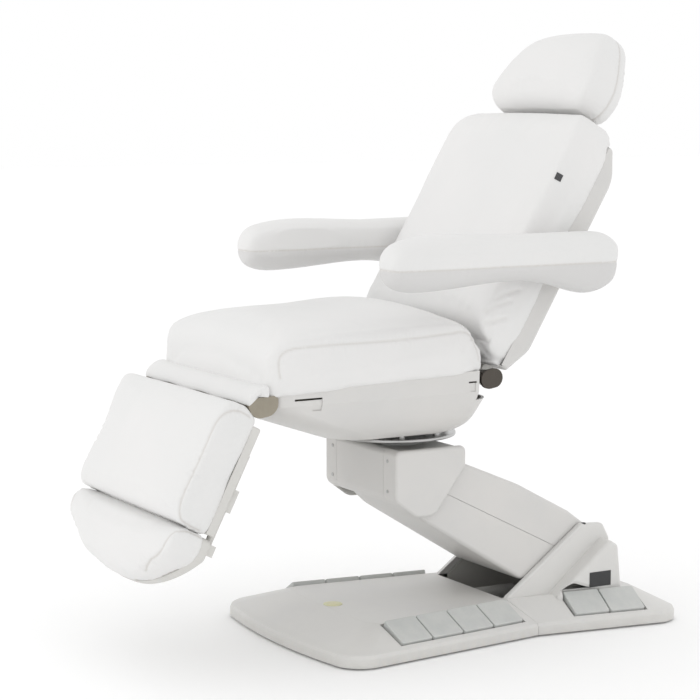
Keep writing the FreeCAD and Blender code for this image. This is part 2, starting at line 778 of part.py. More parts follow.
def mains_inlet():
    """Appliance inlet set in the cover's rear wall: body, rim and a recess with three pins."""
    back = TOWER_BACK_Y - INLET_DEPTH
    body = inlet_block(0, (back, TOWER_BACK_Y))
    rim = inlet_block(INLET_RIM, (TOWER_BACK_Y, INLET_FACE_Y))
    recess = box((-INLET_RECESS_HALF, INLET_RECESS_HALF), (back + INLET_FLOOR, BASE_REAR_Y), INLET_RECESS_Z)
    shell = fused([body, rim]).cut(recess)
    middle = sum(INLET_RECESS_Z) / 2
    pins = [box((x - INLET_PIN_HALF, x + INLET_PIN_HALF), (back, INLET_FACE_Y - INLET_PIN_INSET),
                (middle - INLET_PIN_HALF_Z, middle + INLET_PIN_HALF_Z)) for x in INLET_PIN_X]
    return fused([shell] + pins)


def control_box():
    block = box(CONTROL_X, CONTROL_Y, (PLATE_TOP_Z, CONTROL_TOP_Z))
    return block.makeFillet(HOUSING_R, [e for e in block.Edges if abs(e.Vertexes[0].Z - e.Vertexes[1].Z) > 1])


# Lifting arm

def link(a, b, radius, x_range):
    """Flat link with round ends between two pivots."""
    along = V(0, b[0] - a[0], b[1] - a[1])
    along.normalize()
    across = V(0, -along.z, along.y) * radius
    start = V(0, *a)
    end = V(0, *b)
    wire = Part.Wire([
        line(start + across, end + across),
        arc(end + across, end + along * radius, end - across),
        line(end - across, start - across),
        arc(start - across, start - along * radius, start + across),
    ])
    return slab(wire, x_range)


ARM_LOW = (ARM_LOW_Y, ARM_LOW_Z)
ARM_HIGH = (ARM_HIGH_Y, ARM_HIGH_Z)
ARM_RISE = math.atan2(ARM_HIGH_Z - ARM_LOW_Z, ARM_LOW_Y - ARM_HIGH_Y)
ARM_MIDDLE = ARM_RISE + math.radians((LIFT_UP - LIFT_DOWN) / 2)
TIE_Y = TIE_OFFSET * math.sin(ARM_MIDDLE)
TIE_Z = TIE_OFFSET * math.cos(ARM_MIDDLE)
TIE_LOW = (ARM_LOW_Y + TIE_Y, ARM_LOW_Z + TIE_Z)
TIE_HIGH = (ARM_HIGH_Y + TIE_Y, ARM_HIGH_Z + TIE_Z)


def crank_axle(axle, tie):
    """Fixed axle with two crank cheeks and the pin of the tie rod.

    The cranks stand square to the arm half way through its travel.
    """
    shaft = rod_x(AXLE_R, (-AXLE_HALF, AXLE_HALF), *axle)
    cheek = link(axle, tie, TIE_EYE_R, CRANK_X)
    pin = rod_x(TIE_PIN_R, (-CRANK_X[1], CRANK_X[1]), *tie)
    return fused([shaft, cheek, mirrored(cheek), pin])


def tie_rod():
    bar = link(TIE_LOW, TIE_HIGH, TIE_EYE_R, (-TIE_HALF, TIE_HALF))
    bores = [rod_x(TIE_PIN_R + RUN_GAP, (-BEYOND, BEYOND), y, z) for y, z in (TIE_LOW, TIE_HIGH)]
    return bar.cut(Part.makeCompound(bores))


def drive_pin(lever, up, down, pivot_y, pivot_z, towards):
    """Rest place of a lever's pin, and the height at which its rod runs.

    The lever hangs straight down half way through its travel; towards is the y direction it then has moved.
    """
    lag = math.radians((up - down) / 2)
    sweep = math.radians((up + down) / 2)
    y = pivot_y - towards * lever * math.sin(lag)
    z = pivot_z - lever * math.cos(lag)
    lift = lever * (1 - math.cos(sweep)) / 2
    return y, z, pivot_z - lever + lift, lift


LIFT_PIN_Y, LIFT_PIN_Z, LIFT_ROD_Z, LIFT_SLOT = drive_pin(LIFT_LEVER, LIFT_UP, LIFT_DOWN,
                                                          ARM_LOW_Y, ARM_LOW_Z, -1)
LEG_PIN_Y, LEG_PIN_Z, LEG_ROD_Z, LEG_SLOT = drive_pin(SEAT_LEVER, LEG_UP, LEG_DOWN, LEG_Y, LEG_Z, -1)
BACK_PIN_Y, BACK_PIN_Z, BACK_ROD_Z, BACK_SLOT = drive_pin(SEAT_LEVER, BACK_ANGLE, BACK_UP,
                                                          BACK_Y, BACK_Z, -1)


def arm_beam():
    """Two steel side plates, their bearing tubes, a cross tube and the drive lever."""
    plate = link(ARM_LOW, ARM_HIGH, BEAM_HALF_DEPTH, BEAM_X)
    solids = [plate, mirrored(plate)]
    tube_x = (BEAM_TUBE_X, ARM_HALF - ARM_WALL - RUN_GAP)
    for y, z in (ARM_LOW, ARM_HIGH):
        tube = rod_x(BEAM_TUBE_R, tube_x, y, z)
        solids += [tube, mirrored(tube)]
    mid_y = (ARM_LOW_Y + ARM_HIGH_Y) / 2
    mid_z = (ARM_LOW_Z + ARM_HIGH_Z) / 2 - BEAM_TIE_DROP
    solids.append(rod_x(BEAM_TIE_R, (-BEAM_X[1], BEAM_X[1]), mid_y, mid_z))
    lever = link(ARM_LOW, (LIFT_PIN_Y, LIFT_PIN_Z), LEVER_EYE_R, LEVER_X)
    solids += [lever, mirrored(lever)]
    solids.append(rod_x(LEVER_PIN_R, (-LEVER_X[1], LEVER_X[1]), LIFT_PIN_Y, LIFT_PIN_Z))
    bores = [rod_x(AXLE_R + RUN_GAP, (-BEYOND, BEYOND), y, z) for y, z in (ARM_LOW, ARM_HIGH)]
    return fused(solids).cut(Part.makeCompound(bores))


def arm_profile():
    """Side outline of the arm: two corners at its middle, the rest set out from its pivots."""
    low = [(ARM_LOW_Y + y, ARM_LOW_Z + z, radius) for y, z, radius in ARM_LOW_CORNERS]
    high = [(ARM_HIGH_Y + y, ARM_HIGH_Z + z, radius) for y, z, radius in ARM_HIGH_CORNERS]
    return profile(high + [ARM_BACK_BEND] + low)


def arm_block(inward):
    half = ARM_HALF - inward
    form = slab(inset(arm_profile(), inward), (-half, half))
    for x in (half, -half):
        form = rounded_at_x(form, x, ARM_EDGE_R - inward)
    return form


def arm_form():
    form = arm_block(0).cut(arm_block(ARM_WALL))
    bores = [rod_x(BEAM_TUBE_R + SOFT_GAP, (-BEYOND, BEYOND), y, z) for y, z in (ARM_LOW, ARM_HIGH)]
    return form.cut(Part.makeCompound(bores))


def above_seam(shift):
    """Everything above the line on which the two arm covers meet."""
    y0, z0 = ARM_HIGH_Y + ARM_SEAM_HIGH[0], ARM_HIGH_Z + ARM_SEAM_HIGH[1]
    y1, z1 = ARM_LOW_Y + ARM_SEAM_LOW[0], ARM_LOW_Z + ARM_SEAM_LOW[1]
    slope = (z1 - z0) / (y1 - y0)
    low = [(y, z0 + slope * (y - y0) + shift) for y in (-BEYOND, BEYOND)]
    points = [V(0, *low[0]), V(0, *low[1]), V(0, BEYOND, 2 * BEYOND), V(0, -BEYOND, 2 * BEYOND)]
    return slab(Part.makePolygon(points + points[:1]), (-BEYOND, BEYOND))


def arm_cover_upper():
    return arm_form().common(above_seam(SEAM_GAP))


def arm_cover_lower():
    way_y = LIFT_PIN_Y - LIFT_LEVER - LEVER_EYE_R
    lever_way = box((-LEVER_X[1] - LEVER_WAY, LEVER_X[1] + LEVER_WAY), (way_y, BEYOND), (0, ARM_LOW_Z))
    return arm_form().cut(above_seam(0)).cut(lever_way)


def yoke_rod(x, pin_y, rod_z, lift, pin_r, tail_y):
    """Push rod with a slotted end plate that takes a lever's pin."""
    slot_y = pin_r + YOKE_PLAY
    slot_z = pin_r + lift + YOKE_PLAY
    plate = box((x - YOKE_HALF, x + YOKE_HALF),
                (pin_y - slot_y - YOKE_MARGIN, pin_y + slot_y + YOKE_MARGIN),
                (rod_z - slot_z - YOKE_MARGIN, rod_z + slot_z + YOKE_MARGIN))
    slot = box((x - BEYOND, x + BEYOND), (pin_y - slot_y, pin_y + slot_y), (rod_z - slot_z, rod_z + slot_z))
    near = pin_y - slot_y if tail_y < pin_y else pin_y + slot_y
    shaft = rod_y(ROD_R, x, (min(near, tail_y), max(near, tail_y)), rod_z)
    return fused([plate.cut(slot), shaft])


def motor_tube(x, z, tube_y):
    tube = rod_y(TUBE_R, x, tube_y, z)
    return tube.cut(rod_y(ROD_R + RUN_GAP, x, (tube_y[0] + TUBE_END_WALL, tube_y[1] - TUBE_END_WALL), z))


def open_end(tube, x, z, y):
    return tube.cut(rod_y(ROD_R + RUN_GAP, x, (y - 2 * TUBE_END_WALL, y + 2 * TUBE_END_WALL), z))


def lift_rod():
    return yoke_rod(0, LIFT_PIN_Y, LIFT_ROD_Z, LIFT_SLOT, LEVER_PIN_R, LIFT_ROD_TAIL_Y)


def lift_motor():
    """Gear housing bolted to the floor plate, with the guide tube of the push rod."""
    tube = open_end(motor_tube(0, LIFT_ROD_Z, LIFT_TUBE_Y), 0, LIFT_ROD_Z, LIFT_TUBE_Y[1])
    gear = box((-LIFT_GEAR_HALF, LIFT_GEAR_HALF), LIFT_GEAR_Y, (PLATE_TOP_Z, LIFT_GEAR_TOP_Z))
    gear = gear.makeFillet(HOUSING_R, [e for e in gear.Edges if abs(e.Vertexes[0].Z - e.Vertexes[1].Z) > 1])
    motor_z = (PLATE_TOP_Z + LIFT_GEAR_TOP_Z) / 2
    motor = rod_x(MOTOR_R, (LIFT_GEAR_HALF, LIFT_GEAR_HALF + LIFT_MOTOR_LENGTH), sum(LIFT_GEAR_Y) / 2, motor_z)
    saddle = box((-TUBE_R, TUBE_R), SADDLE_Y, (PLATE_TOP_Z, LIFT_ROD_Z))
    saddle = saddle.cut(rod_y((TUBE_R + ROD_R) / 2, 0, (-BEYOND, BEYOND), LIFT_ROD_Z))
    return fused([tube, gear, motor, saddle])


# Head of the arm

def head_profile():
    return profile([
        (HEAD_FRONT_Y, HEAD_TOP_Z, HEAD_CORNER_R),
        (HEAD_FRONT_Y, HEAD_CHIN_Z, HEAD_CHIN_R),
        (HEAD_LOW_Y, HEAD_LOW_Z, HEAD_LOW_R),
        (HEAD_LOW_Y + HEAD_LOW_LENGTH, HEAD_LOW_Z, HEAD_LOW_R),
        (HEAD_REAR_Y, HEAD_REAR_LOW_Z, HEAD_CORNER_R),
        (HEAD_REAR_Y, HEAD_TOP_Z, HEAD_CORNER_R),
    ])


def head_cheeks():
    """Side covers of the head; each returns round the front corner to the front panel."""
    cheek = rounded_at_x(slab(head_profile(), (PANEL_HALF, HEAD_HALF)), HEAD_HALF, HEAD_EDGE_R)
    inner_half = HEAD_HALF - HEAD_WALL
    hollow = slab(inset(head_profile(), HEAD_WALL), (0, inner_half))
    hollow = rounded_at_x(hollow, inner_half, HEAD_EDGE_R - HEAD_WALL)
    room = box((0, AXLE_HALF + SOFT_GAP), (HEAD_FRONT_Y + HEAD_RETURN, 0), (0, 2 * BEYOND))
    return both_sides(cheek.cut(hollow).cut(room))


def head_panel():
    skin = slab(head_profile(), (-PANEL_HALF + SEAM_GAP, PANEL_HALF - SEAM_GAP))
    skin = skin.cut(slab(inset(head_profile(), HEAD_WALL), (-BEYOND, BEYOND)))
    front = box((-BEYOND, BEYOND), (-BEYOND, HEAD_FRONT_Y + HEAD_RETURN), (PANEL_LOW_Z, 2 * BEYOND))
    return skin.common(front)


def head_screws():
    solids = []
    face = HEAD_FRONT_Y - SCREW_PROUD
    for z in SCREW_Z:
        screw = Part.makeCylinder(SCREW_R, SCREW_PROUD, V(SCREW_X, face, z), Y_AXIS)
        for wide, tall in ((SCREW_CROSS, SCREW_CROSS_HALF), (SCREW_CROSS_HALF, SCREW_CROSS)):
            screw = screw.cut(box((SCREW_X - wide, SCREW_X + wide),
                                  (face - SCREW_PROUD, face + SCREW_CROSS_DEPTH), (z - tall, z + tall)))
        solids += [screw, mirrored(screw)]
    return Part.makeCompound(solids)


def head_frame():
    """Steel bridge: top plate, two side plates that hold the axle, and a front stiffener."""
    inner = inset(head_profile(), HEAD_WALL + SOFT_GAP)
    side = slab(inner, (TOWER_PLATE_X, AXLE_HALF))
    room = (HEAD_FRONT_Y + HEAD_RETURN + SOFT_GAP, HEAD_REAR_Y - HEAD_WALL - SOFT_GAP)
    side = side.common(box((0, BEYOND), room, (0, HEAD_TOP_Z)))
    side = side.cut(rod_x(AXLE_R + FIT_GAP, (0, BEYOND), ARM_HIGH_Y, ARM_HIGH_Z))
    top_z = (HEAD_TOP_Z - HEAD_WALL - SOFT_GAP - HEAD_PLATE_THICK, HEAD_TOP_Z - HEAD_WALL - SOFT_GAP)
    top = box((-AXLE_HALF, AXLE_HALF), (room[0], room[1] - HEAD_TOP_SHORT), top_z)
    stiffener = box((-AXLE_HALF, AXLE_HALF), (room[0], room[0] + HEAD_STIFFENER[0]),
                    (top_z[0] - HEAD_STIFFENER[1], top_z[1]))
    hub = Part.makeCylinder(BEARING_R[0], HEAD_TOP_Z - top_z[0], V(0, SWIVEL_Y, top_z[0]), Z_AXIS)
    return fused([side, mirrored(side), top, stiffener, hub])


def swivel_bearing():
    height = BEARING_TOP_Z - HEAD_TOP_Z + HEAD_WALL + SOFT_GAP
    foot = V(0, SWIVEL_Y, BEARING_TOP_Z - height)
    ring = Part.makeCylinder(BEARING_R[1], height, foot, Z_AXIS)
    return ring.cut(Part.makeCylinder(BEARING_R[0] + FIT_GAP, height, foot, Z_AXIS))


# Seat

def swivel_disc():
    """Turning disc with a ring of spacers that carries the seat frame through the shell."""
    disc = Part.makeCylinder(DISC_R, DISC_TOP_Z - DISC_LOW_Z, V(0, SWIVEL_Y, DISC_LOW_Z), Z_AXIS)
    disc = disc.cut(Part.makeCylinder(DISC_BORE_R, BEYOND, V(0, SWIVEL_Y, DISC_LOW_Z), Z_AXIS))
    rims = [e for e in disc.Edges if isinstance(e.Curve, Part.Circle) and e.Curve.Radius > DISC_BORE_R]
    disc = disc.makeFillet(DISC_EDGE_R, rims)
    solids = [disc]
    for index in range(SPACER_COUNT):
        angle = 2 * math.pi * (index + 0.5) / SPACER_COUNT
        x = SPACER_RING_R * math.cos(angle)
        y = SWIVEL_Y + SPACER_RING_R * math.sin(angle)
        solids.append(Part.makeCylinder(SPACER_R, BELLY_LOW_Z - DISC_TOP_Z, V(x, y, DISC_TOP_Z), Z_AXIS))
    return fused(solids)


def belly_outline(z, half, front, rear, radius):
    cut = radius * (1 - math.sqrt(0.5))

    def corner(x, y, toward_x, toward_y):
        a = V(x - toward_x * radius, y, z)
        b = V(x, y - toward_y * radius, z)
        return a, V(x - toward_x * cut, y - toward_y * cut, z), b

    fr = corner(half, front, 1, -1)
    rr = corner(half, rear, 1, 1)
    rl = corner(-half, rear, -1, 1)
    fl = corner(-half, front, -1, -1)
    return Part.Wire([
        arc(*fr), line(fr[2], rr[2]), arc(*rr[::-1]), line(rr[0], rl[0]),
        arc(*rl), line(rl[2], fl[2]), arc(*fl[::-1]), line(fl[0], fr[0]),
    ])


def belly_form(inward):
    """Bowl under the seat and the upright wall above it.

    Each row of the bowl: rise, narrowing each side, set-back in front and behind, corner radius.
    """
    half = SHELL_HALF - inward
    front = SHELL_FRONT_Y + inward
    rear = SHELL_REAR_Y - inward
    low = BELLY_LOW_Z + inward
    rows = [(0, 121, 240, 20, 90), (18, 74, 188, 6, 100), (55, 30, 84, 0, 100)]
    rim = belly_outline(BELLY_RIM_Z, half - SHELL_RIM_INSET, front + SHELL_RIM_INSET, rear, SHELL_CORNER_R)
    wires = [belly_outline(low + rise, half - narrow, front + ahead, rear - behind, radius)
             for rise, narrow, ahead, behind, radius in rows]
    bowl = Part.makeLoft(wires + [rim], True, False)
    lip = belly_outline(SEAM_REAR_Z + SHELL_LIP, half, front, rear, SHELL_CORNER_R)
    wall = Part.makeLoft([rim, lip], True, True)
    return fused([bowl, wall])


def seam_z(y):
    """Height of the line on which cushion and shell meet."""
    return SEAM_FRONT_Z + SEAM_SLOPE * (y - SEAT_FRONT_Y)


def above_seat_seam():
    ends = (-2 * BEYOND, BEYOND)
    points = [V(0, y, seam_z(y)) for y in ends] + [V(0, ends[1], 3 * BEYOND), V(0, ends[0], 3 * BEYOND)]
    return slab(Part.makePolygon(points + points[:1]), (-BEYOND, BEYOND))


def seat_shell():
    """Moulded belly shell, open above and at both hinges, notched for the push rods, with slots and pockets."""
    shell = belly_form(0).cut(belly_form(SHELL_WALL)).cut(above_seat_seam())
    rear_gap = box((-BEYOND, BEYOND), (SHELL_EAR_Y, BEYOND), (SHELL_REAR_TOP_Z, 2 * BEYOND))
    inner_half = HINGE_PLATE_X[1] + SOFT_GAP
    nose_gap = box((-inner_half, inner_half), (-2 * BEYOND, SHELL_NOSE_Y), (SHELL_NOSE_Z, 2 * BEYOND))
    shell = shell.cut(rear_gap).cut(nose_gap)
    for x, rod_z, ends in ((LEG_DRIVE_X, LEG_ROD_Z, (-2 * BEYOND, LEG_TUBE_Y[0])),
                           (BACK_DRIVE_X, BACK_ROD_Z, (SHELL_EAR_Y, BEYOND))):
        shell = shell.cut(box((x - SHELL_NOTCH_HALF, x + SHELL_NOTCH_HALF), ends,
                              (rod_z - SHELL_NOTCH_DROP, 2 * BEYOND)))
    for y_range, z_range in SHELL_SLOTS:
        shell = shell.cut(box((-BEYOND, BEYOND), y_range, z_range))
    deep = belly_form(SHELL_POCKET_DEPTH)
    for y_range, z_range in SHELL_POCKETS:
        shell = shell.cut(box((-BEYOND, BEYOND), y_range, z_range).cut(deep))
    return shell


def seat_cushion():
    rows = [
        (SEAT_FRONT_Y, -30, 0.58, 0.15), (SEAT_FRONT_Y + 8, -16, 0.78, 0.4),
        (SEAT_FRONT_Y + 30, -4, 0.93, 0.7), (SEAT_FRONT_Y + 80, 0, 1.0, 0.9),
        ((SEAT_FRONT_Y + SEAT_REAR_Y) / 2, -SEAT_DRAW, 1.0, 1.0), (SEAT_REAR_Y - 110, 0, 1.0, 0.85),
        (SEAT_REAR_Y - 52, -3, 0.9, 0.3), (SEAT_REAR_Y - 26, -8, 0.66, 0.1), (SEAT_REAR_Y, -12, 0.4, 0.05),
    ]
    return padding([(y, SEAT_HALF + more, seam_z(y) + SOFT_GAP, SEAT_SIDE * tall, SEAT_CROWN * full,
                     SEAT_BULGE * tall) for y, more, tall, full in rows])


def seat_frame():
    """Floor plate, webs, cross bars, two side rails and the fixed hinge axles at both ends."""
    floor_wire = belly_outline(FRAME_FLOOR_Z, FRAME_FLOOR_HALF, *FRAME_FLOOR_Y, FRAME_FLOOR_R)
    floor = Part.Face(floor_wire).extrude(V(0, 0, FRAME_FLOOR_THICK))
    rail_wire = profile([
        (LEG_Y - RAIL_END, LEG_Z - RAIL_HALF_DEPTH, 0), (LEG_Y - RAIL_END, LEG_Z + RAIL_HALF_DEPTH, 0),
        (BACK_Y + RAIL_END, BACK_Z + RAIL_HALF_DEPTH, 0), (BACK_Y + RAIL_END, BACK_Z - RAIL_HALF_DEPTH, 0)])
    rail = slab(rail_wire, RAIL_X)
    solids = [floor, rail, mirrored(rail)]

    def rail_z(y):
        return LEG_Z + (BACK_Z - LEG_Z) * (y - LEG_Y) / (BACK_Y - LEG_Y)

    for y in CROSS_Y:
        bar_z = (rail_z(y) + CROSS_BAR_Z[0], rail_z(y) + CROSS_BAR_Z[1])
        solids.append(box((-RAIL_X[1], RAIL_X[1]), (y - CROSS_HALF, y + CROSS_HALF), bar_z))
        web = box(WEB_X, (y - CROSS_HALF, y + CROSS_HALF), (FRAME_FLOOR_Z, bar_z[1]))
        solids += [web, mirrored(web)]
    axle_x = (-HINGE_PLATE_X[1], HINGE_PLATE_X[1])
    solids += [rod_x(HINGE_R, axle_x, LEG_Y, LEG_Z), rod_x(HINGE_R, axle_x, BACK_Y, BACK_Z)]
    for x, y, rod_z in ((LEG_DRIVE_X, LEG_POST_Y, LEG_ROD_Z), (BACK_DRIVE_X, BACK_POST_Y, BACK_ROD_Z)):
        solids.append(box((x - MOTOR_POST_HALF, x + MOTOR_POST_HALF), (y, y + MOTOR_POST_THICK),
                          (FRAME_FLOOR_Z, rod_z - MOTOR_R)))
    return fused(solids)


def hinge_plates():
    """Side plates that hold the ends of both hinge axles, riveted to the side rails."""
    front = link((LEG_Y, LEG_Z), (LEG_Y + HINGE_PLATE_REACH, LEG_Z + HINGE_PLATE_TILT), HINGE_PLATE_R,
                 HINGE_PLATE_X)
    front = front.cut(above_seat_seam())
    front = front.cut(rod_x(HINGE_R + FIT_GAP, (0, BEYOND), LEG_Y, LEG_Z))
    rear = link((BACK_Y, BACK_Z), (BACK_Y - HINGE_PLATE_REACH, BACK_Z - HINGE_PLATE_TILT), HINGE_PLATE_REAR_R,
                HINGE_PLATE_X)
    rear = rear.cut(above_seat_seam())
    rear = rear.cut(rod_x(HINGE_R + FIT_GAP, (0, BEYOND), BACK_Y, BACK_Z))
    return Part.makeCompound([front, mirrored(front), rear, mirrored(rear)])


def leg_motor():
    tube = open_end(motor_tube(LEG_DRIVE_X, LEG_ROD_Z, LEG_TUBE_Y), LEG_DRIVE_X, LEG_ROD_Z, LEG_TUBE_Y[0])
    motor = rod_y(MOTOR_R, LEG_DRIVE_X, (LEG_TUBE_Y[1], LEG_MOTOR_END_Y), LEG_ROD_Z)
    return fused([tube, motor])


def back_motor():
    tube = open_end(motor_tube(BACK_DRIVE_X, BACK_ROD_Z, BACK_TUBE_Y), BACK_DRIVE_X, BACK_ROD_Z,
                    BACK_TUBE_Y[1])
    motor = rod_y(MOTOR_R, BACK_DRIVE_X, (BACK_MOTOR_END_Y, BACK_TUBE_Y[0]), BACK_ROD_Z)
    return fused([tube, motor])


def leg_rod():
    return yoke_rod(LEG_DRIVE_X, LEG_PIN_Y, LEG_ROD_Z, LEG_SLOT, SEAT_LEVER_PIN_R, LEG_ROD_TAIL_Y)


def back_rod():
    return yoke_rod(BACK_DRIVE_X, BACK_PIN_Y, BACK_ROD_Z, BACK_SLOT, SEAT_LEVER_PIN_R, BACK_ROD_TAIL_Y)


def drive_lever(x, pivot_y, pivot_z, pin_y, pin_z):
    """Pair of lever plates with the pin that runs in a push rod's slot."""
    sides = [link((pivot_y, pivot_z), (pin_y, pin_z), SEAT_LEVER_EYE_R, (x + side[0], x + side[1]))
             for side in (DRIVE_LEVER_X, (-DRIVE_LEVER_X[1], -DRIVE_LEVER_X[0]))]
    pin = rod_x(SEAT_LEVER_PIN_R, (x - DRIVE_LEVER_X[1], x + DRIVE_LEVER_X[1]), pin_y, pin_z)
    return sides + [pin]


# Legrest and footrest, drawn flat with the foot end towards -Y

def along_leg(start, end):
    return -end, -start


def legrest_frame():
    """Hinge sleeve with two bars under the board and the drive lever."""
    bar_z = (-BOARD_THICK - SOFT_GAP - LEG_BAR_THICK, -BOARD_THICK - SOFT_GAP)
    solids = [rod_x(SLEEVE_R, (-SLEEVE_HALF, SLEEVE_HALF), 0, 0)]
    for x_range in (LEG_BAR_X, (-LEG_BAR_X[1], -LEG_BAR_X[0])):
        solids.append(box(x_range, along_leg(-LEG_BAR_BACK, LEG_BAR_LENGTH), bar_z))
        solids.append(box(x_range, along_leg(-LEG_BAR_BACK, LEG_BAR_NECK), (bar_z[0], 0)))
    solids = [on_leg(s) for s in solids]
    solids += drive_lever(LEG_DRIVE_X, LEG_Y, LEG_Z, LEG_PIN_Y, LEG_PIN_Z)
    return fused(solids).cut(rod_x(HINGE_R + RUN_GAP, (-BEYOND, BEYOND), LEG_Y, LEG_Z))


def guide_block(span):
    return box((GUIDE_X - GUIDE_HALF, GUIDE_X + GUIDE_HALF), along_leg(*span),
               (-BOARD_THICK - GUIDE_DEPTH, -BOARD_THICK / 2))


GUIDE_TUBE_Z = -BOARD_THICK - GUIDE_DEPTH / 2


def legrest_board():
    board = box((-LEG_BOARD_HALF, LEG_BOARD_HALF), along_leg(*LEG_BOARD), (-BOARD_THICK, 0))
    board = board.makeFillet(BOARD_EDGE_R, [e for e in board.Edges if min(v.Z for v in e.Vertexes) < -1])
    block = guide_block(GUIDE_BLOCK)
    lower = [e for e in block.Edges if abs(e.Vertexes[0].X - e.Vertexes[1].X) < 1
             and max(v.Z for v in e.Vertexes) < -BOARD_THICK]
    block = block.makeFillet(BOARD_EDGE_R, lower)
    bore = rod_y(GUIDE_TUBE_R + RUN_GAP, GUIDE_X, along_leg(0, BEYOND), GUIDE_TUBE_Z)
    block = block.cut(bore)
    return on_leg(fused([board, block, mirrored(block)]))


def legrest_cushion():
    """Pad of the legrest, hollowed along its upper end to clear the hinge."""
    first, last = LEG_PAD
    rows = [(first, -11, 0.78, 0.3), (first + 9, -3, 0.93, 0.55), (first + 40, 0, 1.0, 0.85),
            ((first + last) / 2, -LEG_DRAW, 1.0, 1.0), (last - 40, 0, 1.0, 0.85),
            (last - 9, -3, 0.93, 0.55), (last, -11, 0.78, 0.3)]
    pad = on_leg(padding([(-u, LEG_HALF + more, SOFT_GAP, LEG_SIDE * tall, LEG_CROWN * full, LEG_BULGE * tall)
                          for u, more, tall, full in rows]))
    return pad.cut(rod_x(HINGE_PLATE_R + LEG_PAD_WAY, (-BEYOND, BEYOND), LEG_Y, LEG_Z))


def foot_half(u):
    """Half width of the half-moon footrest at a place along the legrest."""
    sag = FOOT_LENGTH - FOOT_SIDE_LENGTH
    radius = (FOOT_HALF ** 2 + sag ** 2) / (2 * sag)
    offset = u - (FOOT_START + FOOT_LENGTH - radius)
    if u <= FOOT_START + FOOT_SIDE_LENGTH:
        return FOOT_HALF
    return math.sqrt(max(radius ** 2 - offset ** 2, 0))


def footrest_board():
    """Half-moon board with the two guide tubes that run in the legrest's guide blocks."""
    top = -FOOT_START
    side = -FOOT_START - FOOT_SIDE_LENGTH
    low = V(0, -FOOT_START - FOOT_LENGTH, -BOARD_THICK)
    a = V(-FOOT_HALF, top, -BOARD_THICK)
    b = V(FOOT_HALF, top, -BOARD_THICK)
    c = V(FOOT_HALF, side, -BOARD_THICK)
    d = V(-FOOT_HALF, side, -BOARD_THICK)
    wire = Part.Wire([line(a, b), line(b, c), arc(c, low, d), line(d, a)])
    board = Part.Face(wire).extrude(V(0, 0, BOARD_THICK))
    upright = [e for e in board.Edges if abs(e.Vertexes[0].Z - e.Vertexes[-1].Z) > 1]
    board = board.makeFillet(FOOT_CORNER_R, upright)
    lower = [e for e in board.Edges if all(v.Z < -BOARD_THICK + 1 for v in e.Vertexes)]
    board = board.makeFillet(BOARD_EDGE_R, lower)
    solids = [board]
    for x in (GUIDE_X, -GUIDE_X):
        solids.append(rod_y(GUIDE_TUBE_R, x, along_leg(GUIDE_TUBE_TOP, sum(FOOT_BLOCK) / 2), GUIDE_TUBE_Z))
    block = guide_block(FOOT_BLOCK)
    return on_leg(fused(solids + [block, mirrored(block)]))


def footrest_cushion():
    last = FOOT_START + FOOT_LENGTH
    rows = [(FOOT_START, -12, 0.75, 0.3), (FOOT_START + 8, -3, 0.92, 0.6), (FOOT_START + 24, 0, 1.0, 0.9),
            (FOOT_START + FOOT_SIDE_LENGTH, -3, 1.0, 1.0), (last - 66, -6, 0.97, 1.0),
            (last - 36, -9, 0.85, 0.9), (last - 16, -12, 0.62, 0.6), (last - 5, -16, 0.32, 0.3)]
    return on_leg(padding([(-u, foot_half(u) + more, SOFT_GAP, FOOT_SIDE * tall, FOOT_CROWN * full,
                            LEG_BULGE * tall) for u, more, tall, full in rows]))


# Back, drawn flat with the head end towards +Y

def back_frame():
    """Hinge sleeve, two uprights, cross bars with guide tubes, the armrest pin and the drive lever."""
    solids = [rod_x(SLEEVE_R, (-SLEEVE_HALF, SLEEVE_HALF), 0, 0)]
    for x_range in (UPRIGHT_X, (-UPRIGHT_X[1], -UPRIGHT_X[0])):
        solids.append(box(x_range, (-UPRIGHT_FOOT, UPRIGHT_TOP), UPRIGHT_M))
        solids.append(box(x_range, (-UPRIGHT_FOOT, UPRIGHT_FOOT), (UPRIGHT_M[0], 0)))
    for span in BACK_BARS:
        solids.append(box((-UPRIGHT_X[1], UPRIGHT_X[1]), span, UPRIGHT_M))
    for x in (HEADREST_ROD_X, -HEADREST_ROD_X):
        span = (BACK_BARS[0][0], BACK_BARS[1][1])
        solids.append(rod_y(HEADREST_GUIDE_R, x, span, HEADREST_TILT_M))
    solids.append(rod_x(ARM_PIN_R, (-ARM_PIN_HALF, ARM_PIN_HALF), ARM_PIVOT_V, ARM_PIVOT_M))
    frame = fused(solids)
    bores = [rod_y(HEADREST_ROD_R + RUN_GAP, x, (0, 2 * BEYOND), HEADREST_TILT_M)
             for x in (HEADREST_ROD_X, -HEADREST_ROD_X)]
    frame = on_back(frame.cut(Part.makeCompound(bores)))
    frame = fused([frame] + drive_lever(BACK_DRIVE_X, BACK_Y, BACK_Z, BACK_PIN_Y, BACK_PIN_Z))
    return frame.cut(rod_x(HINGE_R + RUN_GAP, (-BEYOND, BEYOND), BACK_Y, BACK_Z))


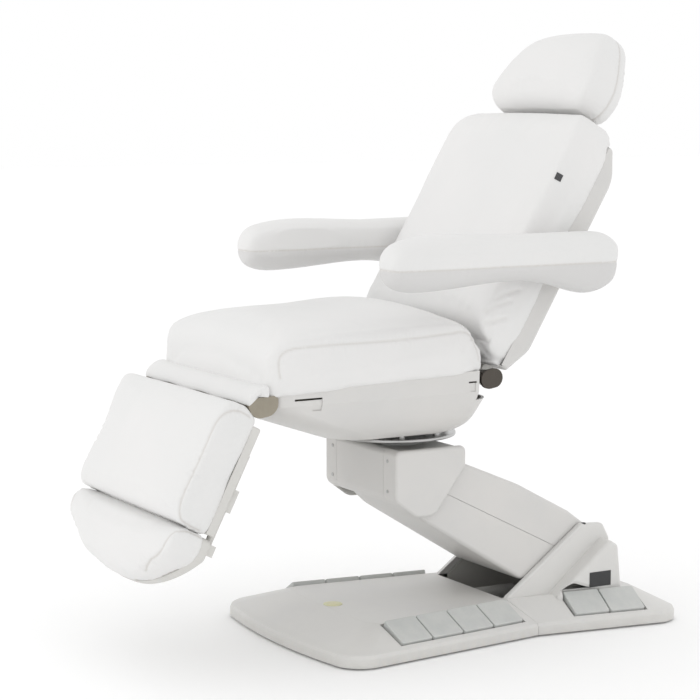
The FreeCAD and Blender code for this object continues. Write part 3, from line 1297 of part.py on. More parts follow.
def back_shell():
    """Rear cover of the back, open in front and at its foot."""
    low, high = SHELL_BACK
    wire = profile([
        (low, -BACK_SHELL_TOP, 0), (high, -BACK_SHELL_TOP, 0), (high, -BACK_SHELL_TOP_DEPTH, BACK_SHELL_TOP_R),
        (high - BACK_SHELL_FALL, -BACK_SHELL_DEPTH, BACK_SHELL_FALL_R),
        (BACK_MOUTH_TOP, -BACK_SHELL_DEPTH, BACK_SHELL_RUN_R),
        (low, -BACK_SHELL_FOOT_DEPTH, BACK_SHELL_FOOT_R)])
    forms = []
    for inward in (0, BACK_SHELL_WALL):
        half = BACK_SHELL_HALF - inward
        form = slab(inset(wire, inward), (-half, half))
        for x in (half, -half):
            form = rounded_at_x(form, x, BACK_SHELL_EDGE_R - inward, -BACK_SHELL_TOP - inward - FIT_GAP)
        forms.append(form)
    form, hollow = forms
    inner_half = BACK_SHELL_HALF - BACK_SHELL_WALL
    lid = box((-inner_half, inner_half), (low + BACK_SHELL_WALL, high - BACK_SHELL_WALL),
              (-BACK_SHELL_TOP - 2 * BACK_SHELL_WALL, BACK_SHELL_WALL))
    mouth = box((-BACK_MOUTH_HALF, BACK_MOUTH_HALF), (-BEYOND, BACK_MOUTH_TOP), (-BEYOND, BEYOND))
    shell = form.cut(hollow).cut(lid).cut(mouth)
    holes = [rod_y(HEADREST_ROD_R + RUN_GAP, x, (BACK_BARS[1][0], 2 * BEYOND), HEADREST_TILT_M)
             for x in (HEADREST_ROD_X, -HEADREST_ROD_X)]
    holes.append(rod_x(ARM_PIN_R + FIT_GAP, (-BEYOND, BEYOND), ARM_PIVOT_V, ARM_PIVOT_M))
    return on_back(shell.cut(Part.makeCompound(holes)))


def back_cushion():
    low, high = BACK_PAD
    rows = [(low, -12, 0.08, 0.05), ((low + BACK_PAD_HEEL) / 2, -6, 0.52, 0.1),
            (BACK_PAD_HEEL, -2, 0.97, 0.45), (BACK_PAD_HEEL + 50, 0, 1.0, 0.8),
            ((low + high) / 2, -BACK_DRAW, 1.0, 1.0), (high - 110, 0, 1.0, 0.9),
            (high - 62, -6, 0.98, 0.8), (high - 30, -24, 0.88, 0.6), (high - 10, -56, 0.68, 0.4),
            (high, -92, 0.42, 0.2)]
    return on_back(padding([(v, BACK_HALF + more, -BACK_SHELL_TOP + SOFT_GAP, BACK_SIDE * tall,
                             BACK_CROWN * full, BACK_BULGE * tall) for v, more, tall, full in rows]))


def arm_hub():
    """Round hub on the armrest pin, between the back and the left armrest."""
    y, z = back_point(ARM_PIVOT_V, ARM_PIVOT_M)
    neck = rod_x(HUB_NECK_R, (HUB_X[0], HUB_FACE_X), y, z)
    disc = rod_x(HUB_R, (HUB_X[1], HUB_FACE_X), y, z)
    disc = rounded_at_x(disc, HUB_X[1], HUB_EDGE_R)
    return fused([neck, disc]).cut(rod_x(ARM_PIN_R + RUN_GAP, (0, BEYOND), y, z))


def armrest_pad():
    front = ARMREST_FRONT_Y
    rear = ARMREST_REAR_Y
    rows = [(front, -28, 0.2, 0.2), (front + 6, -16, 0.52, 0.45), (front + 21, -6, 0.82, 0.8),
            (front + 56, 0, 1.0, 0.95), ((front + rear) / 2, -1, 1.0, 1.0), (rear - 80, 0, 1.04, 1.0),
            (rear - 26, -3, 0.98, 0.85), (rear - 7, -10, 0.82, 0.55), (rear, -20, 0.56, 0.3)]
    return padding([(y, ARMREST_HALF + more, ARMREST_SEAM_Z + SOFT_GAP, ARMREST_SIDE * tall,
                     ARMREST_CROWN * full, ARMREST_BULGE, ARMREST_X) for y, more, tall, full in rows])


def armrest_tray():
    """Lower half of the armrest: deep at both ends and slim in the middle, bored for the pin."""
    front = ARMREST_FRONT_Y + 4
    rear = ARMREST_REAR_Y - 2
    deep = ARMREST_FRONT_DEPTH
    slim = ARMREST_MID_DEPTH
    heel = ARMREST_REAR_DEPTH
    rows = [(front, -22, 0.42 * deep), (front + 10, -8, 0.74 * deep), (front + 40, 0, 0.96 * deep),
            (front + 105, 0, deep), (front + 270, -2, slim), (rear - 180, -1, slim + 8), (rear - 95, 0, heel),
            (rear - 40, 0, 0.96 * heel), (rear - 9, -9, 0.74 * heel), (rear, -22, 0.45 * heel)]
    solid = padding([(y, ARMREST_HALF + more, ARMREST_SEAM_Z, -(1 - ARMREST_KEEL) * depth, -ARMREST_KEEL * depth,
                      ARMREST_BULGE, ARMREST_X) for y, more, depth in rows])
    y, z = back_point(ARM_PIVOT_V, ARM_PIVOT_M)
    return solid.cut(rod_x(ARM_PIN_R + RUN_GAP, (0, ARM_PIN_HALF + RUN_GAP), y, z))


def headrest_bar():
    """Two rods that slide in the back's guide tubes, joined by the tilt axle."""
    solids = [rod_x(HEADREST_CROSS_R, (-HEADREST_ROD_X - HEADREST_ROD_R, HEADREST_ROD_X + HEADREST_ROD_R),
                    HEADREST_TILT_V, HEADREST_TILT_M)]
    for x in (HEADREST_ROD_X, -HEADREST_ROD_X):
        solids.append(rod_y(HEADREST_ROD_R, x, (HEADREST_ROD_LOW, HEADREST_TILT_V), HEADREST_TILT_M))
    return on_back(fused(solids))


def headrest_board():
    """Board under the headrest cushion, with two knuckles on the tilt axle."""
    board = box((-HEADREST_BOARD_HALF, HEADREST_BOARD_HALF), HEADREST_BOARD, HEADREST_BOARD_M)
    corners = [e for e in board.Edges if abs(e.Vertexes[0].Z - e.Vertexes[1].Z) > 1]
    board = board.makeFillet(HEADREST_BOARD_R, corners)
    solids = [board]
    for x_range in (HEADREST_KNUCKLE_X, (-HEADREST_KNUCKLE_X[1], -HEADREST_KNUCKLE_X[0])):
        solids.append(rod_x(HEADREST_KNUCKLE_R, x_range, HEADREST_TILT_V, HEADREST_TILT_M))
        solids.append(box(x_range, (HEADREST_TILT_V, HEADREST_TILT_V + HEADREST_KNUCKLE_WEB[0]),
                          (HEADREST_TILT_M - HEADREST_KNUCKLE_WEB[1], HEADREST_BOARD_M[0])))
    bore = rod_x(HEADREST_CROSS_R + RUN_GAP, (-BEYOND, BEYOND), HEADREST_TILT_V, HEADREST_TILT_M)
    return on_back(fused(solids).cut(bore))


def headrest_cushion():
    low, high = HEADREST_PAD
    rows = [(low, -46, 0.62, 0.4), (low + 9, -18, 0.84, 0.7), (low + 40, 0, 1.0, 0.95),
            (low + 86, -3, 1.0, 1.0), (low + 134, -26, 0.98, 0.95), (high - 58, -50, 0.88, 0.75),
            (high - 30, -74, 0.7, 0.5), (high - 11, -106, 0.48, 0.3), (high, -142, 0.28, 0.15)]
    return on_back(padding([(v, HEADREST_HALF + more, HEADREST_BOARD_M[1] + SOFT_GAP, HEADREST_SIDE * tall,
                             HEADREST_CROWN * full, HEADREST_BULGE * tall) for v, more, tall, full in rows]))


def nodes():
    """Every node of the chair by name."""
    shapes = {
        "base_plate": base_plate(),
        "feet": feet(),
        "tower_plates": tower_plates(),
        "front_cover": front_cover(),
        "rear_cover": rear_cover(),
        "blank_plate": blank_plate(),
        "mains_inlet": mains_inlet(),
        "control_box": control_box(),
        "lift_motor": lift_motor(),
        "lower_axle": crank_axle(ARM_LOW, TIE_LOW),
        "arm_beam": arm_beam(),
        "arm_cover_upper": arm_cover_upper(),
        "arm_cover_lower": arm_cover_lower(),
        "tie_rod": tie_rod(),
        "lift_rod": lift_rod(),
        "head_frame": head_frame(),
        "head_cheeks": head_cheeks(),
        "head_panel": head_panel(),
        "head_screws": head_screws(),
        "head_axle": crank_axle(ARM_HIGH, TIE_HIGH),
        "swivel_bearing": swivel_bearing(),
        "swivel_disc": swivel_disc(),
        "seat_frame": seat_frame(),
        "seat_shell": seat_shell(),
        "seat_cushion": seat_cushion(),
        "hinge_plates": hinge_plates(),
        "back_motor": back_motor(),
        "leg_motor": leg_motor(),
        "back_rod": back_rod(),
        "leg_rod": leg_rod(),
        "back_frame": back_frame(),
        "back_shell": back_shell(),
        "back_cushion": back_cushion(),
        "headrest_bar": headrest_bar(),
        "headrest_board": headrest_board(),
        "headrest_cushion": headrest_cushion(),
        "legrest_frame": legrest_frame(),
        "legrest_board": legrest_board(),
        "legrest_cushion": legrest_cushion(),
        "footrest_board": footrest_board(),
        "footrest_cushion": footrest_cushion(),
    }
    pins = []
    for name, row_y, count in (("front", FRONT_ROW_Y, FRONT_ROW_COUNT), ("rear", REAR_ROW_Y, REAR_ROW_COUNT)):
        for index in range(count):
            plate = pedal(row_y, count, index)
            shapes[f"pedal_left_{name}_{index + 1}"] = plate
            shapes[f"pedal_right_{name}_{index + 1}"] = mirrored(plate)
        pin = pedal_pin(row_y, PEDAL_PIN_R)
        pins += [pin, mirrored(pin)]
    shapes["pedal_pins"] = Part.makeCompound(pins)
    for name, make in (("arm_hub", arm_hub), ("armrest_pad", armrest_pad), ("armrest_tray", armrest_tray)):
        shapes[f"{name}_left"] = make()
        shapes[f"{name}_right"] = mirrored(shapes[f"{name}_left"])
    return shapes


os.makedirs("parts", exist_ok=True)
for node, shape in nodes().items():
    shape.translate(V(0, FRAME_Y, 0))
    shape.exportStep(f"parts/{node}.step")
    print(f"{node}: {len(shape.Solids)} solid(s), {shape.Volume / 1000:.1f} cm3, valid {shape.isValid()}")
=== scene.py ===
"""Electric treatment chair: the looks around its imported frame, piece by piece as it is put together."""
import math
import bmesh
import bpy
import numpy as np
from mathutils import Matrix, Quaternion, Vector
from mathutils.bvhtree import BVHTree


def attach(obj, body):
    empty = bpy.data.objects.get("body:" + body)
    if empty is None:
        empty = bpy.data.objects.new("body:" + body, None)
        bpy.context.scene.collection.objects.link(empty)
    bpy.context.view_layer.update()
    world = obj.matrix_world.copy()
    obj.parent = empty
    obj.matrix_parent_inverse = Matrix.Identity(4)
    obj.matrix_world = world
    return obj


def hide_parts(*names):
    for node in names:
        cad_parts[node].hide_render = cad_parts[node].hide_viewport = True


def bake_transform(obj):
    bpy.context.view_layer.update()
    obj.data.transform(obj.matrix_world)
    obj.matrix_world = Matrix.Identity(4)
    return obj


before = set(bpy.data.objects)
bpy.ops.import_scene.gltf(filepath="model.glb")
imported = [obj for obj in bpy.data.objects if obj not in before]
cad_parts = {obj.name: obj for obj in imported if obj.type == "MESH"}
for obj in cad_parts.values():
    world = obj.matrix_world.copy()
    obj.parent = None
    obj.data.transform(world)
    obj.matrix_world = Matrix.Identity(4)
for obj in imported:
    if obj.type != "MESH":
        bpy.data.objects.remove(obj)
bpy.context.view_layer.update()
scene = bpy.context.scene


# Studio: a floor of matt white paint, rolled on so that it keeps a faint stipple, under an even white sky.
# One broad softbox stands in front, high on the chair's right. The camera stands off the chair's left front
# at about head height, with a long lens.
def linear(code):
    """An sRGB hex colour as linear RGBA."""
    parts = [int(code[i:i + 2], 16) / 255 for i in (1, 3, 5)]
    return [c / 12.92 if c <= 0.04045 else ((c + 0.055) / 1.055) ** 2.4 for c in parts] + [1.0]


def add(material, kind, sockets=None, **settings):
    """One node of a material: its settings, and a value or another node's output for its inputs."""
    node = material.node_tree.nodes.new(kind)
    for key, value in settings.items():
        setattr(node, key, value)
    for socket, value in (sockets or {}).items():
        if isinstance(value, bpy.types.NodeSocket):
            material.node_tree.links.new(value, node.inputs[socket])
        else:
            node.inputs[socket].default_value = value
    return node


def surface(name, **sockets):
    """A material, its shader with values on its own sockets, and the place on the piece in metres."""
    material = bpy.data.materials.new(name)
    material.use_nodes = True
    shader = material.node_tree.nodes["Principled BSDF"]
    for socket, value in sockets.items():
        shader.inputs[socket.replace("_", " ")].default_value = value
    place = add(material, "ShaderNodeTexCoord").outputs["Object"]
    return material, shader, place


def wire(material, output, socket):
    """Link a node's output to a socket of the shader."""
    material.node_tree.links.new(output, socket)


def placed(name, mesh):
    """A mesh as a piece of the scene."""
    piece = bpy.data.objects.new(name, mesh)
    scene.collection.objects.link(piece)
    return piece


FLOOR_HALF = 30.0
FLOOR_GLOW = 0.04
STIPPLE_SIZE = 0.0045
floor_paint, shader, place = surface("rolled_matt_paint", Roughness=0.9, Base_Color=linear("#FDFDFD"),
                                     Emission_Color=linear("#FFFFFF"), Emission_Strength=FLOOR_GLOW)
stipple = add(floor_paint, "ShaderNodeTexNoise", {"Vector": place, "Scale": 1 / STIPPLE_SIZE, "Detail": 2.0})
stipple_bump = add(floor_paint, "ShaderNodeBump", {"Height": stipple.outputs["Fac"], "Strength": 0.05,
                                                   "Distance": 0.0005})
wire(floor_paint, stipple_bump.outputs["Normal"], shader.inputs["Normal"])
floor_mesh = bpy.data.meshes.new("floor")
floor_mesh.from_pydata([(-FLOOR_HALF, -FLOOR_HALF, 0), (FLOOR_HALF, -FLOOR_HALF, 0),
                        (FLOOR_HALF, FLOOR_HALF, 0), (-FLOOR_HALF, FLOOR_HALF, 0)], [], [(0, 1, 2, 3)])
floor_mesh.materials.append(floor_paint)
placed("floor", floor_mesh)

sky = bpy.data.worlds.new("white_sky")
sky.use_nodes = True
sky.node_tree.nodes["Background"].inputs["Color"].default_value = linear("#FFFFFF")
sky.node_tree.nodes["Background"].inputs["Strength"].default_value = 1.0
scene.world = sky
scene.view_settings.view_transform = "Standard"

LOOK_AT = Vector((0.0, -0.06757, 0.66748))
softbox = bpy.data.lights.new("softbox", "AREA")
softbox.shape = "SQUARE"
softbox.size = 3.0
softbox.energy = 15.0
softbox_stand = bpy.data.objects.new("softbox", softbox)
softbox_stand.location = (-1.2, -4.0, 2.2)
softbox_stand.rotation_euler = (LOOK_AT - softbox_stand.location).to_track_quat("-Z", "Y").to_euler()
scene.collection.objects.link(softbox_stand)

lens = bpy.data.cameras.new("camera")
lens.sensor_width = 36.0
lens.lens = 108.57
lens.clip_end = 100.0
camera = bpy.data.objects.new("camera", lens)
camera.location = (4.2106, -2.4634, 1.2546)
camera.rotation_euler = (LOOK_AT - camera.location).to_track_quat("-Z", "Y").to_euler()
scene.collection.objects.link(camera)
scene.camera = camera


# Floor plate, tower plates and the rest of the hidden steelwork: cut and welded mild steel.
# It is powder coated, which leaves a fine orange-peel skin that breaks up the gloss.
def finished(material, *names):
    """Give carried-over nodes a finish through their material slots."""
    for name in names:
        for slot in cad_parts[name].material_slots:
            slot.material = material


PEEL_SIZE = 0.0022
COAT_CLOUD_SIZE = 0.111
powder_coat, shader, place = surface("powder_coated_steel", Metallic=0.0, Roughness=0.45, IOR=1.5)
peel = add(powder_coat, "ShaderNodeTexNoise", {"Vector": place, "Scale": 1 / PEEL_SIZE, "Detail": 2.0})
peel_bump = add(powder_coat, "ShaderNodeBump", {"Height": peel.outputs["Fac"], "Strength": 0.12,
                                                "Distance": 0.0004})
wire(powder_coat, peel_bump.outputs["Normal"], shader.inputs["Normal"])
cloud = add(powder_coat, "ShaderNodeTexNoise", {"Vector": place, "Scale": 1 / COAT_CLOUD_SIZE, "Detail": 3.0})
tint = add(powder_coat, "ShaderNodeValToRGB", {"Fac": cloud.outputs["Fac"]})
tint.color_ramp.elements[0].color = linear("#B4B3AF")
tint.color_ramp.elements[1].color = linear("#C6C5C1")
wire(powder_coat, tint.outputs["Color"], shader.inputs["Base Color"])
finished(powder_coat, "base_plate", "tower_plates", "arm_beam", "head_frame", "back_frame")


# Feet: six moulded rubber pads, pressed on the levelling screws under the plate.
# Black rubber is dull, and dust in its pores lightens it in specks.
DUST_SIZE = 0.00625
rubber, shader, place = surface("moulded_rubber", Roughness=0.8, IOR=1.52)
dust = add(rubber, "ShaderNodeTexNoise", {"Vector": place, "Scale": 1 / DUST_SIZE, "Detail": 4.0})
tint = add(rubber, "ShaderNodeValToRGB", {"Fac": dust.outputs["Fac"]})
tint.color_ramp.elements[0].color = linear("#232323")
tint.color_ramp.elements[1].color = linear("#3A3A39")
wire(rubber, tint.outputs["Color"], shader.inputs["Base Color"])
finished(rubber, "feet")


# Base covers: two vacuum-formed ABS shells, screwed to the plate from below and parted across the waist.
# The sheet has a fine satin texture and clouds of a warmer shade, and close to the floor it is painted greyer
# in patches as painted shade.
GRIT_SIZE = 0.0011  # the real texture is about 0.3 mm, drawn coarser so that it shows
ABS_CLOUD_SIZE = 0.2
FLOOR_SHADE_PATCH_SIZE = 0.0357
FLOOR_SHADE_FROM = 0.005
FLOOR_SHADE_TO = 0.04  # the painted shade near the floor reaches no higher than this


def abs_finish(name, dark, light):
    """Satin ABS: fine grit, clouds between two near shades and a patchy painted shade close to the floor."""
    material, shader, place = surface(name, Roughness=0.42, IOR=1.53)
    grit = add(material, "ShaderNodeTexNoise", {"Vector": place, "Scale": 1 / GRIT_SIZE, "Detail": 2.0})
    bump = add(material, "ShaderNodeBump", {"Height": grit.outputs["Fac"], "Strength": 0.1,
                                            "Distance": 0.0003})
    wire(material, bump.outputs["Normal"], shader.inputs["Normal"])
    cloud = add(material, "ShaderNodeTexNoise", {"Vector": place, "Scale": 1 / ABS_CLOUD_SIZE, "Detail": 4.0,
                                                 "Roughness": 0.6})
    tint = add(material, "ShaderNodeValToRGB", {"Fac": cloud.outputs["Fac"]})
    tint.color_ramp.elements[0].position = 0.3
    tint.color_ramp.elements[0].color = linear(dark)
    tint.color_ramp.elements[1].position = 0.7
    tint.color_ramp.elements[1].color = linear(light)
    height = add(material, "ShaderNodeSeparateXYZ", {"Vector": place})
    # Painted shade: a patchy grey, strongest at the bottom edge, mixed in close to the floor.
    floor_shade_patches = add(material, "ShaderNodeTexNoise", {"Vector": place, "Scale": 1 / FLOOR_SHADE_PATCH_SIZE, "Detail": 6.0,
                                               "Roughness": 0.7})
    low = add(material, "ShaderNodeMapRange", {"Value": height.outputs["Z"], "From Min": FLOOR_SHADE_FROM,
                                               "From Max": FLOOR_SHADE_TO, "To Min": 0.8, "To Max": 0.0})
    floor_shade_mask = add(material, "ShaderNodeMath", {0: floor_shade_patches.outputs["Fac"], 1: low.outputs["Result"]},
                operation="MULTIPLY")
    shade = add(material, "ShaderNodeMix", {"Factor": floor_shade_mask.outputs["Value"], 6: tint.outputs["Color"],
                                            7: linear("#B9B7B1")}, data_type="RGBA")
    wire(material, shade.outputs[2], shader.inputs["Base Color"])
    gloss = add(material, "ShaderNodeMapRange", {"Value": cloud.outputs["Fac"], "To Min": 0.36,
                                                 "To Max": 0.5})
    wire(material, gloss.outputs["Result"], shader.inputs["Roughness"])
    return material


# Painted light: the base covers' colours are a shade lighter than the upper covers' to make up for the
# chair's shadow on the base.
finished(abs_finish("formed_abs_sheet_painted_lighter", "#D6D5D3", "#DCDBD8"), "front_cover", "rear_cover")


# Upper covers: arm, head, belly shell, back shell and arm hubs, screwed or clipped to the steelwork.
# They are injection moulded in the same ABS. The base's formed sheet is painted a shade lighter than them, as
# painted light where the chair shades the base.
finished(abs_finish("moulded_abs", "#D2D1CF", "#D8D6D3"), "arm_cover_upper", "arm_cover_lower",
         "head_cheeks", "head_panel", "seat_shell", "back_shell", "arm_hub_left", "arm_hub_right")


# Cap on the front cover: a pressed-in polyethylene plug over the plate's fixing, slightly domed.
# It is pale yellow, soft and waxy, with a shallow groove inside its rim.
def turned_part(name, outline, at, axis, steps=48):
    """Lathe an outline of (radius, height) about an axis through a point, closed where it starts and ends."""
    shape = bmesh.new()
    turn = Vector((0, 0, 1)).rotation_difference(Vector(axis))
    rings = []
    for radius, rise in outline:
        ring = []
        for step in range(steps if radius > 0 else 1):
            angle = 2 * math.pi * step / steps
            spot = Vector((radius * math.cos(angle), radius * math.sin(angle), rise))
            ring.append(shape.verts.new(Vector(at) + turn @ spot))
        rings.append(ring)
    for a, b in zip(rings, rings[1:]):
        for step in range(steps):
            after = (step + 1) % steps
            corners = [a[step % len(a)], a[after % len(a)], b[after % len(b)], b[step % len(b)]]
            shape.faces.new(list(dict.fromkeys(corners)))
    bmesh.ops.recalc_face_normals(shape, faces=shape.faces)
    mesh = bpy.data.meshes.new(name)
    shape.to_mesh(mesh)
    shape.free()
    mesh.shade_smooth()
    return placed(name, mesh)


CAP_AT = (-0.003, -0.112, 0.0722)
CAP_R = 0.0225
CAP_OUTLINE = [(0, -0.002), (CAP_R, -0.002), (CAP_R, 0.0006), (CAP_R - 0.0006, 0.0012),
               (CAP_R - 0.003, 0.0013), (CAP_R - 0.0036, 0.0008), (CAP_R - 0.0045, 0.0008),
               (CAP_R - 0.0052, 0.0014), (CAP_R / 2, 0.0022), (0, 0.0025)]
BLOT_SIZE = 0.0143
waxy, shader, place = surface("moulded_polyethylene", Roughness=0.5, IOR=1.51, Subsurface_Weight=0.1)
blot = add(waxy, "ShaderNodeTexNoise", {"Vector": place, "Scale": 1 / BLOT_SIZE, "Detail": 3.0})
tint = add(waxy, "ShaderNodeValToRGB", {"Fac": blot.outputs["Fac"]})
tint.color_ramp.elements[0].color = linear("#DED8AC")
tint.color_ramp.elements[1].color = linear("#E9E5C4")
wire(waxy, tint.outputs["Color"], shader.inputs["Base Color"])
cap = turned_part("base_cap", CAP_OUTLINE, CAP_AT, (0, 0, 1))
cap.data.materials.append(waxy)
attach(cap, "base")


# Dark mouldings: mains inlet, blank plate on the side block and the housings of the leg and back drives.
# They are glass-filled nylon, matt black, with a faint grain where the fibres come to the surface.
FIBRE_SIZE = 0.00111
nylon, shader, place = surface("moulded_nylon", Roughness=0.55, IOR=1.53)
grain = add(nylon, "ShaderNodeTexNoise", {"Vector": place, "Scale": 1 / FIBRE_SIZE, "Detail": 2.0})
grain_bump = add(nylon, "ShaderNodeBump", {"Height": grain.outputs["Fac"], "Strength": 0.2,
                                           "Distance": 0.0003})
wire(nylon, grain_bump.outputs["Normal"], shader.inputs["Normal"])
tint = add(nylon, "ShaderNodeValToRGB", {"Fac": grain.outputs["Fac"]})
tint.color_ramp.elements[0].color = linear("#2B2B2C")
tint.color_ramp.elements[1].color = linear("#3C3C3D")
wire(nylon, tint.outputs["Color"], shader.inputs["Base Color"])
finished(nylon, "mains_inlet", "blank_plate", "leg_motor", "back_motor")


# Lift drive and control box: housings bolted to the floor plate, die cast and moulded.
# Both are painted a plain light grey, and the cast skin shows through the paint.
CAST_SIZE = 0.00238
housing_paint, shader, place = surface("painted_housing", Roughness=0.5, IOR=1.5)
cast = add(housing_paint, "ShaderNodeTexNoise", {"Vector": place, "Scale": 1 / CAST_SIZE, "Detail": 3.0})
cast_bump = add(housing_paint, "ShaderNodeBump", {"Height": cast.outputs["Fac"], "Strength": 0.2,
                                                  "Distance": 0.0004})
wire(housing_paint, cast_bump.outputs["Normal"], shader.inputs["Normal"])
tint = add(housing_paint, "ShaderNodeValToRGB", {"Fac": cast.outputs["Fac"]})
tint.color_ramp.elements[0].color = linear("#A9A9A7")
tint.color_ramp.elements[1].color = linear("#BDBDBA")
wire(housing_paint, tint.outputs["Color"], shader.inputs["Base Color"])
finished(housing_paint, "control_box", "lift_motor")


# Eyelets in the tower's top: one on each side over the screw that holds the rear cover to its plate.
# They are turned nylon rings with a sunk bottom, pressed into the cover.
TOWER_TOP_Z = 0.231
EYELET_X = 0.151
EYELET_Y = 0.4925
EYELET_STEPS = 28
EYELET_OUTLINE = [(0, -0.0022), (0.0034, -0.0022), (0.0034, -0.0002), (0.0040, 0.0005),
                  (0.0050, 0.0005), (0.0056, -0.0002), (0.0056, -0.003), (0, -0.003)]
for side, x in (("left", EYELET_X), ("right", -EYELET_X)):
    eyelet = turned_part(f"tower_hole_{side}", EYELET_OUTLINE, (x, EYELET_Y, TOWER_TOP_Z), (0, 0, 1),
                         EYELET_STEPS)
    eyelet.data.materials.append(nylon)
    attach(eyelet, "base")


# Foot pedals: twelve injection-moulded ABS wedges that press down on switches, hinged at their upper edge.
# They are a greyer, coarser moulding than the covers, so that shoes grip them.
TREAD_SIZE = 0.0016  # the real grain is about 0.6 mm, drawn coarser so that it shows
PEDAL_CLOUD_SIZE = 0.0417
pedal_abs, shader, place = surface("moulded_pedal_abs", Roughness=0.55, IOR=1.53)
tread = add(pedal_abs, "ShaderNodeTexVoronoi", {"Vector": place, "Scale": 1 / TREAD_SIZE})
tread_bump = add(pedal_abs, "ShaderNodeBump", {"Height": tread.outputs["Distance"], "Strength": 0.2,
                                               "Distance": 0.0004})
wire(pedal_abs, tread_bump.outputs["Normal"], shader.inputs["Normal"])
cloud = add(pedal_abs, "ShaderNodeTexNoise", {"Vector": place, "Scale": 1 / PEDAL_CLOUD_SIZE, "Detail": 5.0,
                                              "Roughness": 0.65})
tint = add(pedal_abs, "ShaderNodeValToRGB", {"Fac": cloud.outputs["Fac"]})
tint.color_ramp.elements[0].position = 0.35
tint.color_ramp.elements[0].color = linear("#C3C5C3")
tint.color_ramp.elements[1].position = 0.7
tint.color_ramp.elements[1].color = linear("#CDCECB")
wire(pedal_abs, tint.outputs["Color"], shader.inputs["Base Color"])
finished(pedal_abs, *[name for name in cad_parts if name.startswith("pedal_") and name != "pedal_pins"])


# Turned and drawn steel: axles, rods, tie rod, screws, swivel parts and the headrest bar.
# Zinc plated, so it is bright with a fine drawn grain and soft reflections.
DRAW_SIZE = 0.0012
DRAW_STRETCH = (0.08, 1.0, 1.0)
bright_steel, shader, place = surface("drawn_zinc_plated_steel", Metallic=1.0, Roughness=0.3,
                                      Base_Color=linear("#BDBDBC"))
stretch = add(bright_steel, "ShaderNodeMapping", {"Vector": place, "Scale": DRAW_STRETCH})
drawn = add(bright_steel, "ShaderNodeTexNoise", {"Vector": stretch.outputs["Vector"], "Scale": 1 / DRAW_SIZE,
                                                 "Detail": 3.0})
drawn_bump = add(bright_steel, "ShaderNodeBump", {"Height": drawn.outputs["Fac"], "Strength": 0.15,
                                                  "Distance": 0.0002})
wire(bright_steel, drawn_bump.outputs["Normal"], shader.inputs["Normal"])
gloss = add(bright_steel, "ShaderNodeMapRange", {"Value": drawn.outputs["Fac"], "To Min": 0.22,
                                                 "To Max": 0.42})
wire(bright_steel, gloss.outputs["Result"], shader.inputs["Roughness"])
finished(bright_steel, "pedal_pins", "lower_axle", "head_axle", "tie_rod", "lift_rod", "leg_rod", "back_rod",
         "head_screws", "swivel_bearing", "swivel_disc", "headrest_bar")


# Hinge plates and the frames they are bolted to: pressed steel, phosphated before a thin clear lacquer.
# That leaves a dull warm grey with cloudy patches. Towards the rear hinge it is painted a darker grey-brown
# as painted shade.
PHOSPHATE_SIZE = 0.0238
PAINTED_DARK_FROM_Y = -0.3
PAINTED_DARK_TO_Y = 0.1
phosphated, shader, place = surface("phosphated_steel", Metallic=0.6, Roughness=0.48)
cloud = add(phosphated, "ShaderNodeTexNoise", {"Vector": place, "Scale": 1 / PHOSPHATE_SIZE, "Detail": 6.0,
                                               "Roughness": 0.7})
tint = add(phosphated, "ShaderNodeValToRGB", {"Fac": cloud.outputs["Fac"]})
tint.color_ramp.elements[0].color = linear("#8C8578")
tint.color_ramp.elements[1].color = linear("#A9A293")
# Painted shade: the colour turns darker grey-brown towards the rear hinge.
length = add(phosphated, "ShaderNodeSeparateXYZ", {"Vector": place})
painted_dark_rear = add(phosphated, "ShaderNodeMapRange", {"Value": length.outputs["Y"], "From Min": PAINTED_DARK_FROM_Y,
                                              "From Max": PAINTED_DARK_TO_Y})
shade = add(phosphated, "ShaderNodeMix", {"Factor": painted_dark_rear.outputs["Result"], 6: tint.outputs["Color"],
                                          7: linear("#55504A")}, data_type="RGBA")
wire(phosphated, shade.outputs[2], shader.inputs["Base Color"])
gloss = add(phosphated, "ShaderNodeMapRange", {"Value": cloud.outputs["Fac"], "To Min": 0.36, "To Max": 0.6})
wire(phosphated, gloss.outputs["Result"], shader.inputs["Roughness"])
finished(phosphated, "hinge_plates", "seat_frame", "legrest_frame")


# Boards of legrest, footrest and headrest: moulded wood fibre in a shell of painted ABS, greyer than the
# covers. The guide blocks and tubes behind slide in each other when the footrest is pulled out.
BOARD_CLOUD_SIZE = 0.0333
painted_board, shader, place = surface("painted_board", Roughness=0.5, IOR=1.5)
cloud = add(painted_board, "ShaderNodeTexNoise", {"Vector": place, "Scale": 1 / BOARD_CLOUD_SIZE,
                                                  "Detail": 5.0})
tint = add(painted_board, "ShaderNodeValToRGB", {"Fac": cloud.outputs["Fac"]})
tint.color_ramp.elements[0].color = linear("#CFCDC9")
tint.color_ramp.elements[1].color = linear("#D8D7D3")
wire(painted_board, tint.outputs["Color"], shader.inputs["Base Color"])
peel = add(painted_board, "ShaderNodeTexNoise", {"Vector": place, "Scale": 1 / PEEL_SIZE, "Detail": 2.0})
peel_bump = add(painted_board, "ShaderNodeBump", {"Height": peel.outputs["Fac"], "Strength": 0.1,
                                                  "Distance": 0.0004})
wire(painted_board, peel_bump.outputs["Normal"], shader.inputs["Normal"])
finished(painted_board, "legrest_board", "footrest_board", "headrest_board")


# Seat cushion: foam on the seat pan under a cover of white artificial leather, sewn with a D-shaped gusset
# on each side. The cover is polyurethane on a knitted back: satin, with a fine pebbled grain and soft
# gathers.
PEBBLE_SIZE = 0.0019  # the real pebbles are about 0.8 mm, drawn coarser so that they show
SLACK_SIZE = 0.0625
LEATHER_CLOUD_SIZE = 0.286


